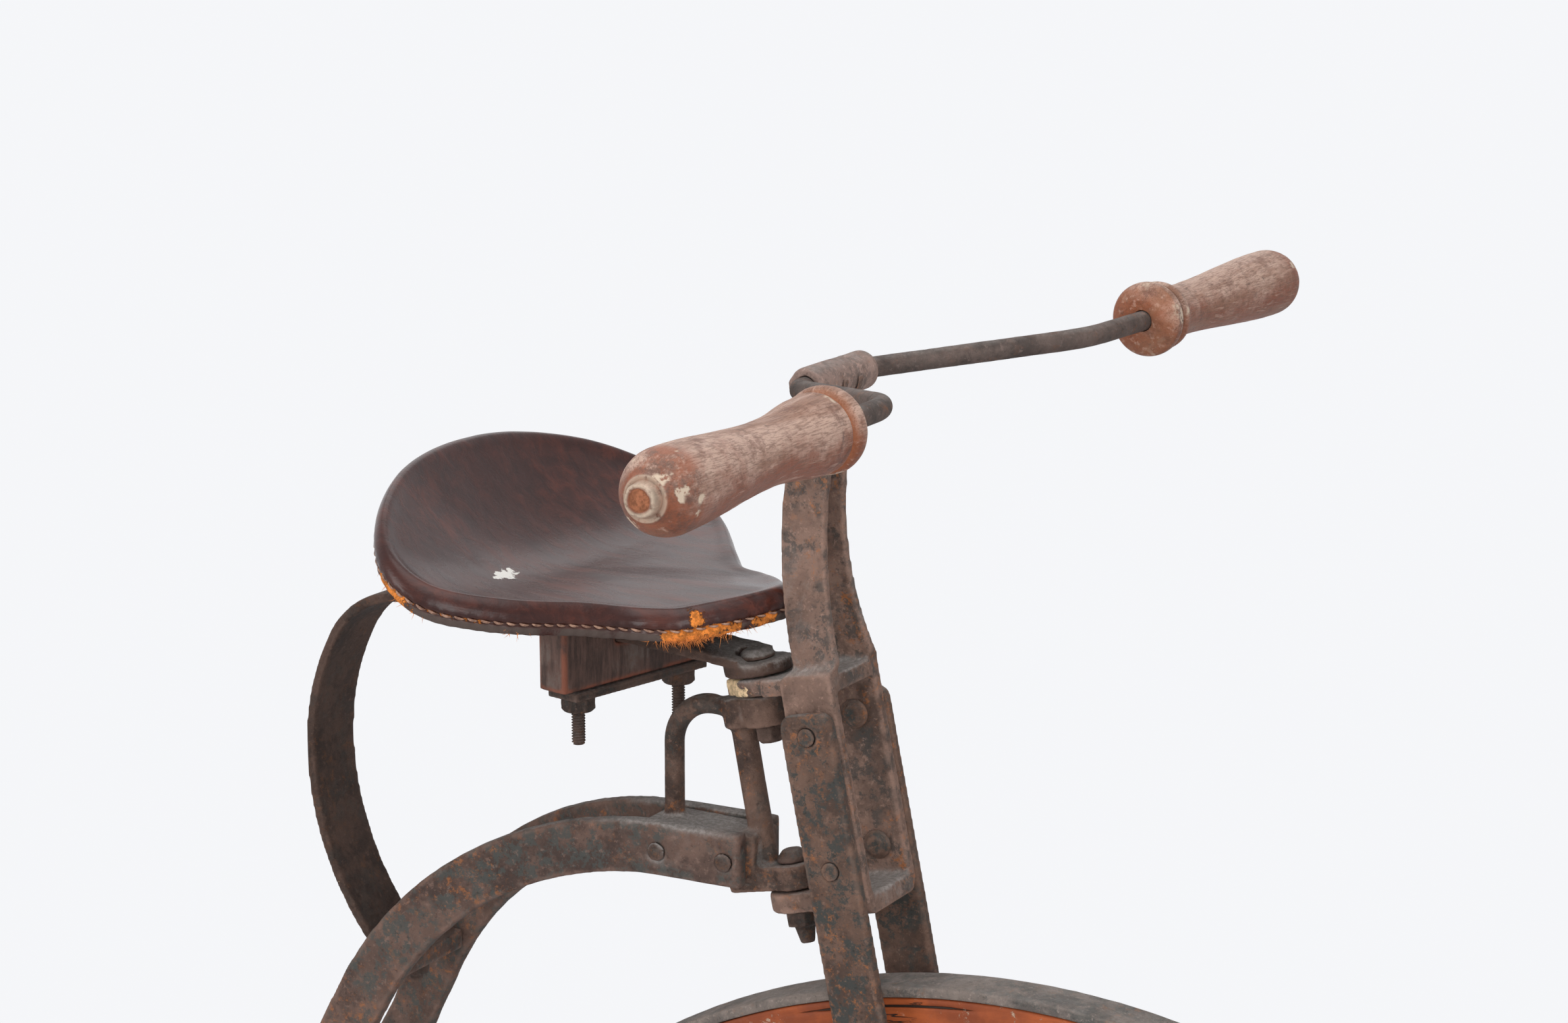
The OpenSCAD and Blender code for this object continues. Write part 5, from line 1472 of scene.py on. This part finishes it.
@dataclass
class Pedal:
    """Turned wooden pedal spool on its pin."""

    side: Side
    length: float = 76 * MM
    radius: float = 19 * MM
    bore: float = 5.3 * MM

    def build(self) -> None:
        """Turns the spool: flange, waist and flange, worn by noise of 10 mm."""
        node = "pedal_left" if self.side is Side.LEFT else "pedal_right"
        low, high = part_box(node)
        start = np.array([(low.x + high.x) / 2, low.y if self.side is Side.LEFT else high.y,
                          (low.z + high.z) / 2])
        r, l = self.radius, self.length
        t = np.linspace(0.0, 1.0, 30)
        waist = np.stack([9.5 * MM + (l - 19 * MM) * t,
                          r - 6 * MM + 3.5 * MM * (2 * t - 1) ** 2
                          - 0.35 * MM * np.cos(TAU * 5 * t)], axis=1)
        head = np.array([(0.2 * MM, self.bore), (0, r - 2 * MM), (0.6 * MM, r - 0.8 * MM),
                         (2 * MM, r), (6 * MM, r), (7.2 * MM, r - 0.6 * MM),
                         (8.2 * MM, r - 1.4 * MM)])
        tail = np.stack([l - head[::-1, 0], head[::-1, 1]], axis=1)
        profile = soft_section(np.concatenate([head, waist, tail]), 210, 1)
        axis = np.array([0.0, float(self.side.value), 0.0])
        grid = turned(start, axis, profile, 72)
        outward = unit(grid - grid.mean(axis=1, keepdims=True))
        wear = 0.3 * (1 + rough_noise(grid, 0.010, 3, 81)) * (profile[:, 1:2] > 8 * MM)
        grid = grid - outward * (wear * MM)[..., None]
        flange = (profile[:, 1:2] > r - 1.2 * MM) + np.zeros(grid.shape[:2])
        zero = np.zeros(grid.shape[:2])
        skin = Skin(node + "_turned")
        skin.grid(grid, round_u=True, groove=zero, rub=0.5 * flange, chip=0.6 * flange,
                  line=zero, rim=zero, plug=zero)
        skin.build(WornWood("pedal_wood", 0.0), node, Slot.WOOD, node)


# ------------------------------------------------------------------ studio


@dataclass
class Studio:
    """Camera, soft lamps, pale floor and an even pale background."""

    camera_at: Colour = (0.77704, -1.23582, 0.33539)
    camera_turn: float = 28.68
    camera_tip: float = 12.0
    lens: float = 76.8
    floor_size: float = 60.0
    background: Colour = (0.915, 0.923, 0.945)
    light: float = 0.36
    fade: tuple[float, float] = (1.05, 1.75)
    lamps: tuple[tuple[str, Colour, float, float], ...] = (
        ("lamp_above", (0.30, -0.35, 1.25), 12.5, 1.3),
        ("lamp_behind", (-0.55, 0.95, 0.95), 2.6, 1.0),
        ("lamp_front", (1.6, -1.9, 0.45), 23.0, 1.2),
        ("lamp_left", (-1.2, -2.1, 0.6), 24.0, 1.2))
    lamp_aim: Colour = (0.0, 0.0, -0.25)

    def camera(self) -> None:
        """Looks down by camera_tip, turned by camera_turn from straight across."""
        data = bpy.data.cameras.new("camera")
        data.lens = self.lens
        data.sensor_width = 36.0
        data.clip_end = 200.0
        camera = bpy.data.objects.new("camera", data)
        camera.location = self.camera_at
        camera.rotation_euler = (math.radians(90.0 - self.camera_tip), 0.0,
                                 math.radians(self.camera_turn))
        bpy.context.scene.collection.objects.link(camera)
        bpy.context.scene.camera = camera

    def lamp(self, name: str, place: Colour, power: float, size: float) -> None:
        """Adds a square soft lamp that faces lamp_aim.

        Args:
            name: its name.
            place: where it hangs.
            power: watts.
            size: length of its sides in metres.
        """
        data = bpy.data.lights.new(name, "AREA")
        data.energy = power
        data.size = size
        lamp = bpy.data.objects.new(name, data)
        lamp.visible_camera = False
        lamp.location = place
        way = np.array(self.lamp_aim) - np.array(place)
        lamp.rotation_euler = (math.atan2(math.hypot(way[0], way[1]), -way[2]), 0.0,
                               math.atan2(-way[0], way[1]))
        bpy.context.scene.collection.objects.link(lamp)

    def world(self) -> None:
        """Even light from everywhere, seen as the pale background."""
        world = bpy.data.worlds.new("studio")
        bpy.context.scene.world = world
        world.use_nodes = True
        n = Nodes.of(world.node_tree)
        light = n.tree.nodes["Background"]
        light.inputs["Color"].default_value = (1.0, 1.0, 1.0, 1.0)
        light.inputs["Strength"].default_value = self.light
        shown = n.add("ShaderNodeBackground", {"Color": (*self.background, 1.0)})
        n.blend(n.seen(), light, shown, "World Output")

    def floor(self) -> None:
        """A wide flat floor under the wheels; it fades to the background with distance."""
        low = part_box("front_tyre")[0].z
        half = self.floor_size / 2.0
        skin = bpy.data.meshes.new("floor")
        skin.from_pydata([(-half, -half, low), (half, -half, low), (half, half, low),
                          (-half, half, low)], [], [(0, 1, 2, 3)])
        floor = bpy.data.objects.new("floor", skin)
        bpy.context.scene.collection.objects.link(floor)
        n = Nodes("floor_finish")
        n.shader.inputs["Roughness"].default_value = 0.9
        n.shader.inputs["Specular IOR Level"].default_value = 0.1
        n.shader.inputs["Base Color"].default_value = (0.88, 0.885, 0.90, 1.0)
        glow = n.add("ShaderNodeEmission", {"Color": (*self.background, 1.0)})
        away = n.add("ShaderNodeVectorMath", {0: n.place}, operation="LENGTH")
        far = n.ramp(away.outputs["Value"], *self.fade)
        n.blend(n.times(n.seen(), far), n.shader, glow, "Material Output")
        skin.materials.append(n.material)

    def build(self) -> None:
        """Sets up the whole studio."""
        self.camera()
        self.world()
        self.floor()
        for lamp in self.lamps:
            self.lamp(*lamp)
        bpy.context.scene.view_settings.view_transform = "Standard"


def main() -> None:
    """Builds the bicycle's looks in order."""
    logging.basicConfig(level=logging.INFO, format="%(name)s: %(message)s")
    Studio().build()
    IronWork().build()
    Saddle().build()
    Studs().build()
    Sleeve().build()
    for side in Side:
        Grip(side).build()
        Pedal(side).build()
    joints = {joint["name"]: joint["pos_m"] for joint in frame["joints"]}
    Wheel("front", "front_wheel", tuple(joints["front_wheel_spin"]), radius=352 * MM, spokes=12,
          hub_radius=33 * MM, hub_half=28.8 * MM, bore=8.3 * MM, felloes=6).build()
    Wheel("rear", "rear_wheel", tuple(joints["rear_wheel_spin"]), radius=280 * MM, spokes=10,
          hub_radius=29 * MM, hub_half=26.6 * MM, bore=7.4 * MM, felloes=5).build()


if __name__ == "__main__":
    main()
